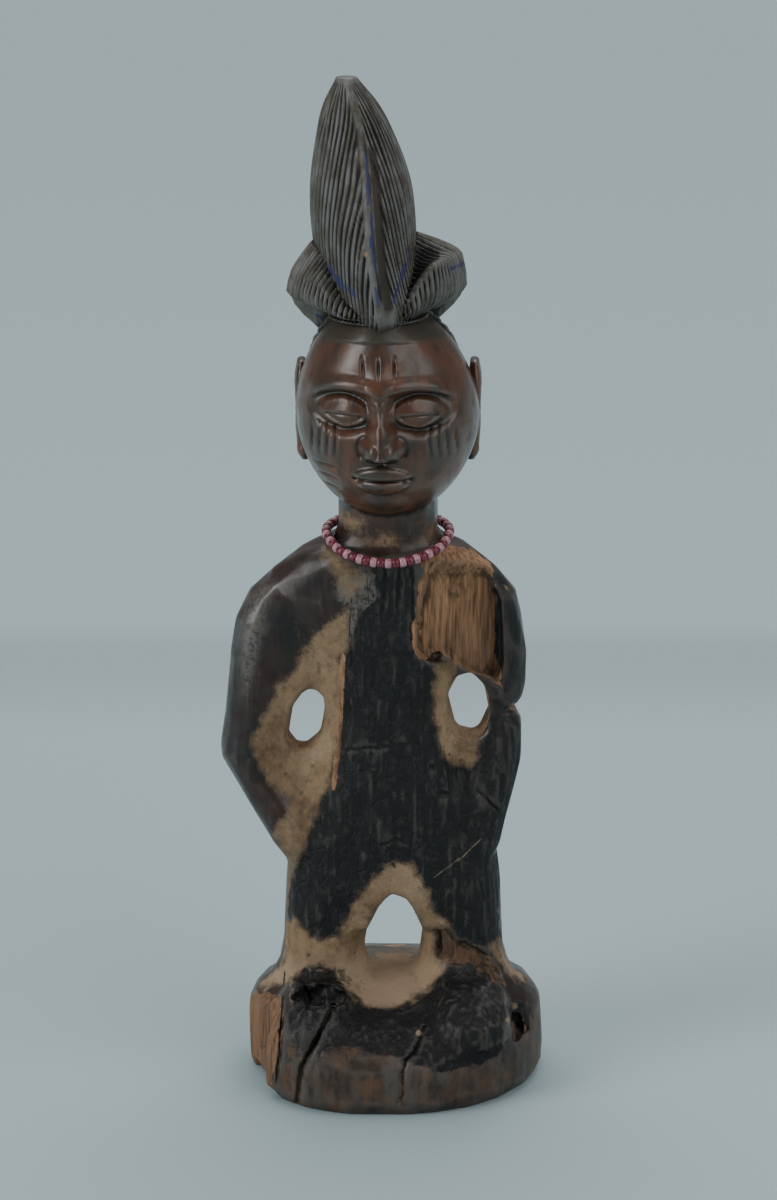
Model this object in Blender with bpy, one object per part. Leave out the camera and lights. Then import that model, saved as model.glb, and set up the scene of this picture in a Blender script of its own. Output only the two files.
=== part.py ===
# A carved wooden twin figure on a round plinth, with a string of glass beads round its neck.
# It stands on its plinth, faces -Y, and has its origin in the middle of the plinth's underside.

import math

import bmesh
import bpy
from mathutils import Matrix, Vector
from mathutils.bvhtree import BVHTree

# Sizes of the whole, in metres.
BODY_HEIGHT = 0.2585
PLINTH_HEIGHT = 0.0215
PLINTH_WIDTH = 0.083
PLINTH_DEPTH = 0.082
PLINTH_EDGE = 0.003
PLINTH_BULGE = 0.003
PLINTH_BULGE_TURN = math.radians(229.0)
PLINTH_BULGE_SPREAD = math.radians(38.0)

# The bead string.
BEAD_DIAMETER = 0.0026
BEAD_HOLE = 0.0012
BEAD_COUNT = 54
BEAD_SIDES = 6
BEAD_GAP = 0.0003
THREAD_DIAMETER = 0.0005
REST_GAP = 0.0004

# Damage, in metres, and the turn of the side of the plinth that split off.
CRACK_WIDTH = 0.0016
NOTCH_HEIGHT = 0.0016
SPLIT_TURN = math.radians(18.0)

# The body is laid out in parts, with this many from the top of the plinth to the tip of the crest.
PARTS_HIGH = 258.5
PART = BODY_HEIGHT / PARTS_HIGH

# Edges sharper than this show as edges.
SHARP_ANGLE = math.radians(35.0)

# Fineness of the blank that the limbs are fused into.
FUSE_SIZE = 1.5 * PART
BLANK_SHARE = 0.0362
# Wood left below the plinth, which the last cut takes off flat.
SAW_ALLOWANCE = 0.002

# Stacks of level sections: height above the plinth, middle x and y, half width and half depth, in parts.
TORSO = [
    (22.0, -0.3, 1.0, 26.0, 13.5),
    (34.0, -0.5, 1.5, 29.0, 15.5),
    (46.0, -1.0, 2.2, 28.4, 16.8),
    (58.0, -1.5, 1.2, 25.5, 16.2),
    (70.0, -2.0, 0.2, 20.5, 15.2),
    (84.0, -2.4, 0.0, 17.0, 14.2),
    (98.0, -2.6, 0.0, 18.5, 14.4),
    (108.0, -2.8, 0.0, 25.5, 14.8),
    (114.0, -2.9, 0.2, 31.0, 14.6),
    (118.5, -3.0, 0.2, 34.0, 14.4),
    (123.0, -2.9, 0.0, 31.2, 14.6),
    (127.2, -2.6, -0.6, 26.4, 15.2),
    (130.0, -2.3, -0.6, 22.2, 15.4),
    (132.2, -2.1, 0.4, 17.0, 13.4),
]
NECK = [
    (122.0, -2.0, 1.0, 14.5, 12.0),
    (132.0, -2.0, 0.0, 14.2, 12.6),
    (138.0, -2.0, -0.6, 13.6, 12.4),
    (150.0, -2.0, -1.0, 14.0, 12.6),
]
LEFT_ARM = [
    (122.0, -26.5, 0.5, 7.5, 8.5),
    (117.0, -31.0, 0.5, 9.2, 9.5),
    (110.0, -34.0, 1.0, 9.8, 10.0),
    (100.0, -35.8, 1.5, 9.6, 10.0),
    (90.0, -37.3, 2.0, 9.0, 9.8),
    (80.0, -38.2, 2.5, 9.0, 9.8),
    (73.0, -39.0, 2.5, 9.5, 9.8),
    (69.5, -38.9, 2.0, 9.5, 9.6),
    (63.0, -35.8, 0.2, 8.6, 9.4),
    (54.0, -31.3, -2.0, 7.6, 9.0),
    (46.0, -27.6, -4.0, 6.4, 8.0),
    (40.5, -25.4, -4.6, 3.8, 5.4),
]
RIGHT_UPPER_ARM = [
    (122.0, 21.5, 0.5, 7.5, 8.5),
    (117.0, 24.6, 0.5, 8.6, 9.5),
    (110.0, 26.0, 1.0, 8.7, 10.0),
    (100.0, 27.8, 1.5, 8.4, 10.0),
    (94.0, 29.2, 2.0, 6.9, 9.8),
    (90.0, 30.0, 2.0, 5.9, 9.4),
    (86.6, 30.2, 2.0, 5.1, 8.4),
    (84.6, 29.8, 2.0, 3.6, 6.4),
]
RIGHT_LOWER_ARM = [
    (85.6, 27.9, 2.6, 2.8, 4.6),
    (82.4, 29.2, 2.0, 4.4, 7.0),
    (80.0, 29.6, 2.0, 5.2, 8.4),
    (77.0, 28.9, 1.5, 6.2, 9.0),
    (70.0, 27.8, 0.2, 7.2, 9.0),
    (63.0, 26.1, -1.0, 7.3, 9.0),
    (54.0, 24.0, -2.0, 7.2, 8.6),
    (46.0, 22.4, -3.0, 7.0, 8.0),
    (38.0, 20.0, -3.0, 5.0, 6.0),
]
LEFT_WEB = [
    (36.0, -22.0, 0.0, 7.0, 4.5),
    (52.0, -26.0, 0.0, 9.0, 6.0),
    (70.0, -29.0, 0.5, 11.0, 6.4),
    (90.0, -28.0, 1.0, 11.5, 6.6),
    (104.0, -25.0, 1.0, 11.0, 7.4),
    (113.0, -22.0, 1.0, 8.0, 8.0),
]
RIGHT_WEB = [
    (36.0, 18.0, 0.0, 7.0, 4.5),
    (56.0, 21.0, 0.0, 8.5, 6.4),
    (74.0, 21.5, 0.5, 8.5, 6.6),
    (90.0, 21.0, 1.0, 9.0, 6.6),
    (104.0, 20.0, 1.0, 9.5, 7.4),
    (113.0, 18.0, 1.0, 8.0, 8.0),
]
LEFT_LEG_SHIFT = -1.2
LEG = [
    (3.0, 19.0, -1.0, 15.0, 17.0),
    (7.0, 18.9, 0.0, 13.6, 15.4),
    (11.0, 18.8, 0.6, 12.0, 13.8),
    (16.0, 18.7, 1.0, 11.4, 13.2),
    (24.0, 17.6, 1.2, 12.2, 13.6),
    (36.0, 16.0, 1.6, 13.2, 14.6),
    (48.0, 14.0, 2.0, 13.0, 14.6),
]
BUTTOCK = [
    (38.0, 12.5, 10.5, 8.5, 5.0),
    (44.0, 12.5, 11.5, 11.0, 8.2),
    (52.0, 12.0, 11.5, 11.2, 9.2),
    (60.0, 11.5, 9.5, 10.0, 7.6),
    (66.0, 11.0, 7.5, 7.0, 5.0),
]
FOOT = [
    (-4.0, 20.5, -19.5, 12.0, 17.5),
    (2.0, 20.5, -19.0, 11.6, 16.5),
    (6.0, 20.3, -16.5, 10.2, 13.6),
    (9.0, 20.0, -13.0, 7.4, 9.0),
]
# The top of the plinth swells up to the ankles: height above it, and shares left of its width and depth.
PLINTH_SWELL = [
    (-1.5, 0.985, 0.985),
    (0.9, 0.955, 0.93),
    (3.5, 0.90, 0.84),
    (6.1, 0.80, 0.70),
    (8.1, 0.66, 0.52),
    (9.1, 0.46, 0.34),
]
# How much lower the plinth's top lies at the front and at the back than at the sides.
FRONT_DIP = 4.8
BACK_DIP = 3.0

# Heights at which the bead string passes the front, the sides and the back of the neck, in parts.
STRING_FRONT_Z = 129.8
STRING_SIDE_Z = 134.6
STRING_BACK_Z = 135.6

# Openings through the body: middle x and height, half width, half height, narrowing at the top, lean.
LEFT_GAP = (-24.3, 81.0, 4.7, 8.3, 0.1, 0.16)
RIGHT_GAP = (20.0, 85.2, 5.3, 8.6, 0.0, -0.05)
LEG_GAP = (0.0, 20.6, 7.2, 10.6, 0.34, 0.0)
# How a gap widens towards the front and back: depth y, and share of its size.
GAP_FLARE = [(-24.0, 2.1), (-9.0, 1.32), (-3.0, 1.04), (3.0, 1.0), (9.0, 1.25), (24.0, 2.0)]
LEG_FLARE = [(-24.0, 1.7), (-12.0, 1.16), (-4.0, 1.0), (6.0, 1.0), (13.0, 1.14), (24.0, 1.7)]

# The head: its middle, half sizes and turn.
HEAD_MIDDLE = (-2.0, -2.0, 168.0)
HEAD_HALF_WIDTH = 24.7
HEAD_FRONT = 25.0
HEAD_BACK = 27.0
HEAD_UP = 32.0
HEAD_DOWN = 28.0
HEAD_LEAN = -0.06
HEAD_TURN = math.radians(-4.0)
# Powers that round the head off towards the chin, the temples and the forehead: below 1 is fuller.
JAW_FULLNESS = 0.74
TEMPLE_FULLNESS = 1.25
FOREHEAD_FULLNESS = 0.6

# The face, in equal thirds from hairline to brow, nose and chin: heights, with x from its middle line.
BROW_Z = 179.0
EYE_Z = 173.0
EYE_X = 9.9
EYE_HALF_WIDTH = 6.3
EYE_HALF_HEIGHT = 3.7
NOSE_BASE_Z = 161.0
NOSE_HALF_WIDTH = 5.2
MOUTH_Z = 154.6
MOUTH_HALF_WIDTH = 8.4
CHIN_Z = 145.4

# The crest: height, middle x, half width, front y and back y.
CREST = [
    (190.0, -5.0, 11.0, -15.0, 18.0),
    (196.5, -5.2, 12.4, -22.8, 23.0),
    (206.0, -7.0, 13.5, -23.2, 22.6),
    (214.0, -8.2, 13.9, -22.4, 21.0),
    (222.0, -8.8, 14.1, -20.6, 18.8),
    (230.0, -9.3, 13.6, -18.0, 16.0),
    (237.5, -10.0, 12.1, -14.8, 13.0),
    (244.0, -10.8, 10.2, -11.4, 10.2),
    (249.0, -11.5, 8.5, -9.0, 7.9),
    (253.0, -12.1, 6.5, -6.8, 5.9),
    (256.6, -12.7, 4.0, -4.6, 3.7),
    (258.5, -13.0, 2.8, -3.3, 2.4),
]
CREST_FRONT_FULLNESS = 1.55
CREST_BACK_FULLNESS = 1.8
CREST_FLUTES = 24
FLUTE_DEPTH = 0.65
KEEL_HALF_WIDTH = 2.0
KEEL_RISE = 0.9

# The brim of hair round the foot of the crest.
BRIM_X = -5.0
BRIM_Y = 0.6
BRIM_HALF_WIDTH = 24.2
BRIM_FRONT = 21.4
BRIM_BACK = 24.0
BRIM_FLUTES = 26
BRIM_FULLNESS = 1.75
RIDGE_FRONT_Z = 197.5
RIDGE_RIGHT_Z = 210.0
RIDGE_LEFT_Z = 206.0
RIDGE_BACK_Z = 197.0
HAIRLINE_FRONT_Z = 195.5
HAIRLINE_BACK_Z = 160.0
HAIR_THICKNESS = 1.2
# A valley parts both front lobes of the brim from the crest.
LOBE_TURN = math.radians(42.0)
LOBE_SPREAD = math.radians(38.0)
VALLEY_DEPTH = 6.5
# The brim from its tuck to its ridge, as shares of its reach and of that height, and on to the crest, as shares
# of its reach, with how far it climbs above the ridge and how much less it climbs on the right.
BRIM_WALL = [(0.95, 0.32), (0.995, 0.62), (0.965, 0.92)]
BRIM_TOP = [(0.92, 1.7, 0.0), (0.70, 6.6, 2.2), (0.45, 8.8, 2.2), (0.30, 9.7, 2.3)]

WOOD = ("charred_wood", (0.045, 0.035, 0.03, 1.0), 0.55)
PINK_GLASS = ("pink_bead", (0.42, 0.22, 0.25, 1.0), 0.35)
RED_GLASS = ("red_bead", (0.23, 0.03, 0.06, 1.0), 0.2)
COTTON = ("thread", (0.25, 0.18, 0.14, 1.0), 0.9)


def at(x, y, z):
    """A point of the body, given in parts above the middle of the plinth's top."""
    return Vector((x * PART, y * PART, PLINTH_HEIGHT + z * PART))


def smooth_step(low, high, value):
    share = min(1.0, max(0.0, (value - low) / (high - low)))
    return share * share * (3.0 - 2.0 * share)


def bump(distance):
    """A round hill, 1 in the middle and 0 from distance 1 outwards."""
    return max(0.0, 1.0 - distance * distance) ** 1.5


def material(finish):
    name, colour, roughness = finish
    made = bpy.data.materials.get(name) or bpy.data.materials.new(name)
    made.use_nodes = True
    shader = made.node_tree.nodes["Principled BSDF"]
    shader.inputs["Base Color"].default_value = colour
    shader.inputs["Roughness"].default_value = roughness
    return made


def mesh_from(name, shape):
    """A mesh of the finished bmesh, with its faces pointing outwards and its round parts smooth."""
    bmesh.ops.recalc_face_normals(shape, faces=shape.faces)
    mesh = bpy.data.meshes.new(name)
    shape.to_mesh(mesh)
    shape.free()
    mesh.shade_smooth()
    mesh.set_sharp_from_angle(angle=SHARP_ANGLE)
    return mesh


def add_loft(shape, rings):
    """Skins closed rings of points, one after another, and caps the first and the last."""
    loops = [[shape.verts.new(point) for point in ring] for ring in rings]
    count = len(loops[0])
    for lower, upper in zip(loops, loops[1:]):
        for i in range(count):
            j = (i + 1) % count
            shape.faces.new((lower[i], lower[j], upper[j], upper[i]))
    for loop in (loops[0], loops[-1]):
        middle = shape.verts.new(sum((v.co for v in loop), Vector()) / count)
        for i in range(count):
            shape.faces.new((loop[i], loop[(i + 1) % count], middle))


def oval_ring(x, y, z, half_width, half_depth, count=24, squareness=2.0):
    """A level ring of points: an ellipse at squareness 2, and boxier above it."""
    ring = []
    for i in range(count):
        turn = 2.0 * math.pi * i / count
        c = math.cos(turn)
        s = math.sin(turn)
        stretch = (abs(c) ** squareness + abs(s) ** squareness) ** (-1.0 / squareness)
        ring.append(at(x + half_width * c * stretch, y + half_depth * s * stretch, z))
    return ring


def stack(shape, rows, mirror=1.0, shift=0.0, squareness=2.2):
    add_loft(shape, [oval_ring(mirror * x + shift, y, z, a, b, 24, squareness) for z, x, y, a, b in rows])


def gap_ring(gap, depth, size, count=20):
    """The egg outline of a gap at one depth, narrow end up."""
    x, z, half_width, half_height, narrow, lean = gap
    ring = []
    for i in range(count):
        turn = 2.0 * math.pi * i / count
        up = half_height * size * math.cos(turn)
        across = half_width * size * math.sin(turn) * (1.0 - narrow * math.cos(turn))
        ring.append(at(x + across + lean * up, depth, z + up))
    return ring


def cutter(name, shape):
    """A hidden solid that only cuts."""
    made = bpy.data.objects.new(name, mesh_from(name, shape))
    bpy.context.scene.collection.objects.link(made)
    made.hide_render = True
    made.display_type = "WIRE"
    return made


def gap_cutter(name, gap, flare):
    """The air of one gap, right through the body."""
    shape = bmesh.new()
    add_loft(shape, [gap_ring(gap, depth, size) for depth, size in flare])
    return cutter(name, shape)


def plinth_ring(z, half_width, half_depth, dip, count=48):
    """A ring of the plinth, fuller at the front left, and lower at the front and back where it dips."""
    ring = []
    for i in range(count):
        turn = 2.0 * math.pi * i / count
        c = math.cos(turn)
        s = math.sin(turn)
        bulge = PLINTH_BULGE * bump((turn - PLINTH_BULGE_TURN) / PLINTH_BULGE_SPREAD)
        low = (FRONT_DIP if s < 0.0 else BACK_DIP) * PART * dip * abs(s) ** 1.5
        ring.append(Vector(((half_width + bulge) * c, (half_depth + bulge) * s, z - low)))
    return ring


def add_plinth(shape):
    """The round plinth, whose top swells up to the ankles."""
    half_width = PLINTH_WIDTH / 2.0
    half_depth = PLINTH_DEPTH / 2.0
    edge = PLINTH_EDGE
    rings = [
        plinth_ring(-SAW_ALLOWANCE, half_width - edge, half_depth - edge, 0.0),
        plinth_ring(0.0, half_width - edge, half_depth - edge, 0.0),
        plinth_ring(edge * 0.4, half_width - edge * 0.3, half_depth - edge * 0.3, 0.0),
        plinth_ring(edge * 1.2, half_width, half_depth, 0.0),
        plinth_ring(PLINTH_HEIGHT * 0.6, half_width * 0.997, half_depth * 0.997, 0.5),
    ]
    for rise, wide, deep in PLINTH_SWELL:
        rings.append(plinth_ring(PLINTH_HEIGHT + rise * PART, half_width * wide, half_depth * deep, 1.0))
    add_loft(shape, rings)


def add_head_blank(shape):
    """A plain core inside the head, so that the neck runs up into it."""
    x, y, z = HEAD_MIDDLE
    rows = [(z + d, x, y, 14.0 * s, 14.0 * s) for d, s in ((-16.0, 0.7), (-8.0, 1.0), (6.0, 0.9))]
    stack(shape, rows)


def add_blank(shape):
    for rows in (TORSO, NECK, LEFT_ARM, RIGHT_UPPER_ARM, RIGHT_LOWER_ARM):
        stack(shape, rows)
    for rows in (LEFT_WEB, RIGHT_WEB):
        stack(shape, rows, squareness=3.0)
    for rows in (LEG, BUTTOCK, FOOT):
        stack(shape, rows, mirror=1.0)
        stack(shape, rows, mirror=-1.0, shift=LEFT_LEG_SHIFT)
    add_head_blank(shape)
    add_plinth(shape)


def almond(x, z, half_width, half_height):
    """Distance from the middle of an almond outline, 1 on its edge."""
    return math.sqrt((abs(x) / half_width) ** 1.5 + (abs(z) / half_height) ** 2.0)


def brow_relief(side, z):
    """An arched ridge over each eye, which runs into the nose."""
    arch = BROW_Z + 1.4 - 0.022 * (side - 8.0) ** 2
    return 1.7 * bump((z - arch) / 3.0) * smooth_step(21.5, 15.0, side)


def eye_relief(side, z):
    """A hollow with an almond eyeball in it, between two lids."""
    hollow = smooth_step(1.0, 0.45, math.hypot((side - EYE_X) / 10.0, (z - EYE_Z) / 7.6))
    edge = almond(side - EYE_X, z - EYE_Z, EYE_HALF_WIDTH, EYE_HALF_HEIGHT)
    ball = bump(0.96 * edge)
    lid = bump((edge - 1.0) / 0.3)
    shut = EYE_Z + 0.9 - 0.022 * (side - EYE_X) ** 2
    cover = 0.45 * smooth_step(shut - 0.25, shut + 0.25, z) * smooth_step(1.05, 0.85, edge)
    return -2.6 * hollow + 2.5 * ball + 0.55 * lid + cover


def nose_relief(side, z):
    """A straight bridge that widens to the wings, cut back below."""
    run = min(1.0, max(0.0, (BROW_Z + 1.0 - z) / (BROW_Z + 1.0 - NOSE_BASE_Z)))
    under = smooth_step(NOSE_BASE_Z - 1.3, NOSE_BASE_Z + 0.6, z)
    root = smooth_step(BROW_Z + 9.0, BROW_Z - 1.0, z)
    bridge = bump(side / (3.8 + 2.0 * run ** 3)) * (1.6 + 4.6 * run ** 1.3)
    wing = 2.5 * bump(math.hypot((side - NOSE_HALF_WIDTH + 1.5) / 2.9, (z - NOSE_BASE_Z - 2.6) / 3.2))
    return (bridge * root + wing) * under


def mouth_relief(x, z):
    """Full lips on a gently raised muzzle, parted by a straight line."""
    muzzle = 1.5 * bump(math.hypot(x / 14.0, (z - MOUTH_Z) / 9.0))
    upper = 2.1 * bump(almond(x, z - MOUTH_Z - 1.3, MOUTH_HALF_WIDTH, 2.9))
    lower = 2.3 * bump(almond(x, z - MOUTH_Z + 1.7, MOUTH_HALF_WIDTH - 1.0, 2.9))
    reach = smooth_step(MOUTH_HALF_WIDTH + 0.5, MOUTH_HALF_WIDTH - 2.5, abs(x))
    line = 1.5 * bump((z - MOUTH_Z) / 0.8) * reach
    return muzzle + max(upper, lower) - line


def face_relief(x, z):
    """How far the face stands out from the plain head, in parts, at x from its middle line."""
    side = abs(x)
    chin = 1.6 * bump(math.hypot(x / 9.0, (z - CHIN_Z) / 5.0))
    cheek = 0.9 * bump(math.hypot((side - 15.0) / 8.0, (z - 166.5) / 8.0))
    brow = brow_relief(side, z) * (1.0 - 0.5 * bump(side / 3.5))
    return brow + eye_relief(side, z) + nose_relief(side, z) + mouth_relief(x, z) + chin + cheek


def head_point(turn, z, relief=1.0):
    """A point of the head's skin at a height: turn 0 faces front."""
    mx, my, mz = HEAD_MIDDLE
    up = (z - mz) / (HEAD_UP if z > mz else HEAD_DOWN)
    up = max(-1.0, min(1.0, up))
    low = max(0.0, -up)
    out = math.sqrt(1.0 - up ** 2)
    facing = math.cos(turn)
    if up < 0.0:
        wide = out ** JAW_FULLNESS * (1.0 - 0.2 * low ** 2)
        deep = out ** JAW_FULLNESS * (1.0 - 0.1 * low)
    else:
        wide = out ** TEMPLE_FULLNESS
        deep = out ** (FOREHEAD_FULLNESS if facing > 0.0 else 1.0)
    x = HEAD_HALF_WIDTH * wide * math.sin(turn)
    y = -(HEAD_FRONT if facing > 0.0 else HEAD_BACK) * deep * facing
    front = smooth_step(0.25, 0.6, facing) * smooth_step(-0.99, -0.85, up)
    y -= relief * front * face_relief(x, z)
    spun = Matrix.Rotation(HEAD_TURN, 3, "Z") @ Vector((x, y, 0.0))
    return at(mx + spun.x + HEAD_LEAN * max(0.0, z - mz), my + spun.y, z)


def add_head(shape, around=46, face_rings=19):
    """The head with its face, with its points closest together at the front."""
    heights = [140.4, 141.2]
    heights += [142.6 + (184.4 - 142.6) * k / (face_rings - 1) for k in range(face_rings)]
    heights += [189.0, 194.0, 199.0]
    loops = []
    for z in heights:
        loop = []
        for i in range(around):
            turn = 2.0 * math.pi * i / around
            loop.append(head_point(turn - 0.5 * math.sin(turn), z))
        loops.append(loop)
    add_loft(shape, loops)


def add_ear(shape, side):
    """A half-round ear with its lobe, seen from the front as a narrow edge."""
    rows = [(153.4, 1.6, 1.0), (155.2, 2.8, 1.9), (158.0, 2.6, 1.8), (163.0, 3.8, 1.8)]
    rows += [(170.0, 5.4, 2.0), (176.0, 5.6, 2.0), (181.0, 3.8, 1.2)]
    loops = []
    for z, deep, thick in rows:
        x = HEAD_MIDDLE[0] + side * (HEAD_HALF_WIDTH - 1.0 - 0.0035 * (z - 172.0) ** 2)
        loops.append(oval_ring(x, 3.6, z, thick, deep, 10))
    add_loft(shape, loops)


def add_crest(shape):
    """The tall bud of hair, fluted from foot to tip, with a keel down its front and back."""
    count = CREST_FLUTES * 2
    loops = []
    for z, x, half_width, front, back in CREST:
        loop = []
        taper = min(1.0, half_width / 10.0)
        for i in range(count):
            turn = 2.0 * math.pi * i / count
            s = math.sin(turn)
            c = math.cos(turn)
            power = CREST_FRONT_FULLNESS if c > 0.0 else CREST_BACK_FULLNESS
            stretch = (abs(s) ** power + abs(c) ** power) ** (-1.0 / power)
            reach = -front if c > 0.0 else back
            cut = FLUTE_DEPTH * taper * (i % 2)
            across = (half_width - cut) * s * stretch
            along = -(reach - cut) * c * stretch
            if abs(across) < KEEL_HALF_WIDTH:
                along -= math.copysign(KEEL_RISE * taper, c)
            loop.append(at(x + across, along, z))
        loops.append(loop)
    add_loft(shape, loops)


def ridge_height(turn):
    """Height of the brim's ridge: low at the front, highest at the sides."""
    s = math.sin(turn)
    side = RIDGE_RIGHT_Z if s > 0.0 else RIDGE_LEFT_Z
    if math.cos(turn) < 0.0:
        return RIDGE_BACK_Z + (side - RIDGE_BACK_Z) * abs(s) ** 0.8
    start = 0.25 if s > 0.0 else 0.35
    return RIDGE_FRONT_Z + (side - RIDGE_FRONT_Z) * smooth_step(start, start + 0.6, abs(s))


def lobe_share(turn):
    """1 in the middle of either front lobe of the brim, and 0 outside it."""
    around = abs(math.remainder(turn, 2.0 * math.pi))
    return bump((around - LOBE_TURN) / LOBE_SPREAD)


def hairline_height(turn):
    """Height of the hairline: level across the forehead, then down behind the ears to the nape."""
    fall = smooth_step(0.0, -0.9, math.cos(turn))
    return HAIRLINE_FRONT_Z + (HAIRLINE_BACK_Z - HAIRLINE_FRONT_Z) * fall


def head_reach(turn, z):
    """How far the plain head stands out from the brim's middle, at a height and turn."""
    skin = head_point(turn - HEAD_TURN, z, relief=0.0) / PART
    return math.hypot(skin.x - BRIM_X, skin.y - BRIM_Y)


def add_brim(shape):
    """The brim: a wall from the hairline out to a ridge, and an upper face back to the crest."""
    count = BRIM_FLUTES * 2
    power = BRIM_FULLNESS
    loops = [[] for _ in range(4 + len(BRIM_WALL) + len(BRIM_TOP))]
    for i in range(count):
        turn = 2.0 * math.pi * i / count
        s = math.sin(turn)
        c = math.cos(turn)
        reach = BRIM_FRONT if c > 0.0 else BRIM_BACK
        ridge = ((abs(s) / BRIM_HALF_WIDTH) ** power + (abs(c) / reach) ** power) ** (-1.0 / power)
        ridge_z = ridge_height(turn)
        line_z = min(hairline_height(turn), ridge_z - 1.5)
        cut = FLUTE_DEPTH * (i % 2)
        skin = head_reach(turn, line_z)
        tuck_z = max(line_z + 0.8, min(ridge_z - 9.0, 190.6 + 1.6 * s))
        low_z = 0.5 * (line_z + tuck_z)
        tuck = head_reach(turn, tuck_z) + HAIR_THICKNESS
        profile = [
            (skin - 5.0, line_z - 1.0),
            (skin + 0.7 * HAIR_THICKNESS, line_z),
            (head_reach(turn, low_z) + HAIR_THICKNESS - 0.5 * cut, low_z),
            (tuck - 0.5 * cut, tuck_z),
        ]
        for out, share in BRIM_WALL:
            profile.append((max(out * ridge, tuck) - cut, tuck_z + share * (ridge_z - tuck_z)))
        for out, climb, less in BRIM_TOP:
            valley = VALLEY_DEPTH * (0.7 + 0.3 * s) * lobe_share(turn) * smooth_step(0.95, 0.7, out)
            profile.append((out * ridge - cut, ridge_z + climb - less * s - valley))
        for loop, (out, z) in zip(loops, profile):
            loop.append(at(BRIM_X + out * s, BRIM_Y - out * c, z))
    add_loft(shape, loops)


def crack_cutter(name, route, depth, width):
    """A crack down the plinth's front: a thin blade through the route's points, sharp at the back."""
    shape = bmesh.new()
    rings = []
    for x, y, z, share in route:
        point = Vector((x * PLINTH_WIDTH / 2.0, y * PLINTH_DEPTH / 2.0, z * PLINTH_HEIGHT))
        half = Vector((width * share / 2.0, 0.0, 0.0))
        back = Vector((0.0, depth, 0.0))
        front = Vector((0.0, -4.0 * depth, 0.0))
        rings.append([point - half + front, point + half + front, point + back])
    add_loft(shape, rings)
    return cutter(name, shape)


def fracture_cutter():
    """Takes off the split front of the right shoulder, down to a plane that runs with the grain."""
    shape = bmesh.new()
    loops = []
    levels = (
        (100.5, 92.5, 8.2, 28.5, 0.0),
        (104.0, 99.0, 5.2, 29.5, 0.0),
        (117.0, 116.0, 6.6, 28.6, 0.0),
        (124.5, 122.0, 7.8, 26.0, 0.8),
        (131.5, 128.5, 9.2, 23.0, 7.0),
    )
    for z_left, z_right, left, right, fore in levels:
        outline = [(left, -26.0), (right + 0.8, -26.0), (right, -1.2 - fore), (right - 5.0, -3.4 - fore)]
        outline += [(left + 9.0, -5.4 - fore), (left + 0.8, -8.0 - fore)]
        loop = []
        for x, y in outline:
            share = (x - left) / (right - left)
            loop.append(at(x, y, z_left + (z_right - z_left) * share))
        loops.append(loop)
    add_loft(shape, loops)
    return cutter("shoulder_split", shape)


def notch_cutter():
    """The open break at the right elbow, which leaves a neck of wood inside it."""
    shape = bmesh.new()
    half = NOTCH_HEIGHT / PART / 2.0
    loops = []
    for x, tall in ((30.4, 0.6), (33.0, 1.0), (40.0, 1.6)):
        corners = ((-18, -1), (18, -1), (18, 1), (-18, 1))
        loops.append([at(x, y, 84.0 + half * tall * up) for y, up in corners])
    add_loft(shape, loops)
    return cutter("elbow_break", shape)


def block_cutter(name, middle, half, turn):
    """A box turned about Z, for flat breaks in the plinth."""
    shape = bmesh.new()
    place = Matrix.Translation(middle) @ Matrix.Rotation(turn, 4, "Z") @ Matrix.Diagonal((*half, 1.0))
    bmesh.ops.create_cube(shape, size=2.0, matrix=place)
    return cutter(name, shape)


def pit_cutter(name, middle, half):
    """A rounded hollow."""
    shape = bmesh.new()
    place = Matrix.Translation(middle) @ Matrix.Diagonal((*half, 1.0))
    bmesh.ops.create_icosphere(shape, subdivisions=1, radius=1.0, matrix=place)
    return cutter(name, shape)


def damage_cutters():
    """The cracks, pits and broken edges that show from a step away."""
    half_width = PLINTH_WIDTH / 2.0
    half_depth = PLINTH_DEPTH / 2.0
    rim = PLINTH_HEIGHT
    burnt = Vector((-0.50 * half_width, -0.56 * half_depth, 1.34 * rim))
    made = []
    made.append(pit_cutter("burnt_hollow", burnt, (0.22 * half_width, 0.15 * half_depth, 0.36 * rim)))
    eaten = Vector((0.80 * half_width, -0.50 * half_depth, 0.86 * rim))
    made.append(pit_cutter("eaten_hollow", eaten, (0.08 * half_width, 0.12 * half_depth, 0.24 * rim)))
    made += [fracture_cutter(), notch_cutter()]
    cracks = (
        ("middle_crack", 1.0, ((0.20, -0.86, 0.92, 1.0), (0.13, -0.92, 0.66, 1.4), (0.06, -0.9, 0.5, 1.0),
                               (0.05, -0.9, 0.1, 0.4))),
        ("wide_crack", 1.7, ((-0.36, -0.66, 1.5, 0.7), (-0.50, -0.82, 0.76, 1.1), (-0.60, -0.84, 0.4, 0.9),
                             (-0.62, -0.86, 0.04, 0.4))),
        ("side_crack", 1.3, ((-0.72, -0.5, 1.5, 1.0), (-0.80, -0.64, 0.5, 0.9), (-0.82, -0.62, 0.1, 0.5))),
    )
    for name, wide, route in cracks:
        made.append(crack_cutter(name, route, 0.12 * half_depth, CRACK_WIDTH * wide))
    flake = Vector((-1.065 * half_width, -0.246 * half_depth, 0.1 * rim))
    made.append(block_cutter("split_side", flake, (0.145 * half_width, 0.39 * half_depth, rim), SPLIT_TURN))
    chip = Vector((-0.98 * half_width, -0.42 * half_depth, -0.04 * rim))
    chip_size = (0.16 * half_width, 0.3 * half_depth, 0.16 * rim)
    made.append(block_cutter("chipped_foot", chip, chip_size, SPLIT_TURN))
    return made


def carved_solid(name, adder):
    """One carved solid to be joined on: hidden itself, it only lends its shape."""
    shape = bmesh.new()
    adder(shape)
    return cutter(name, shape)


def add_boolean(target, tool, operation):
    modifier = target.modifiers.new(tool.name, "BOOLEAN")
    modifier.operation = operation
    modifier.object = tool
    modifier.solver = "EXACT"
    return modifier


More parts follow.
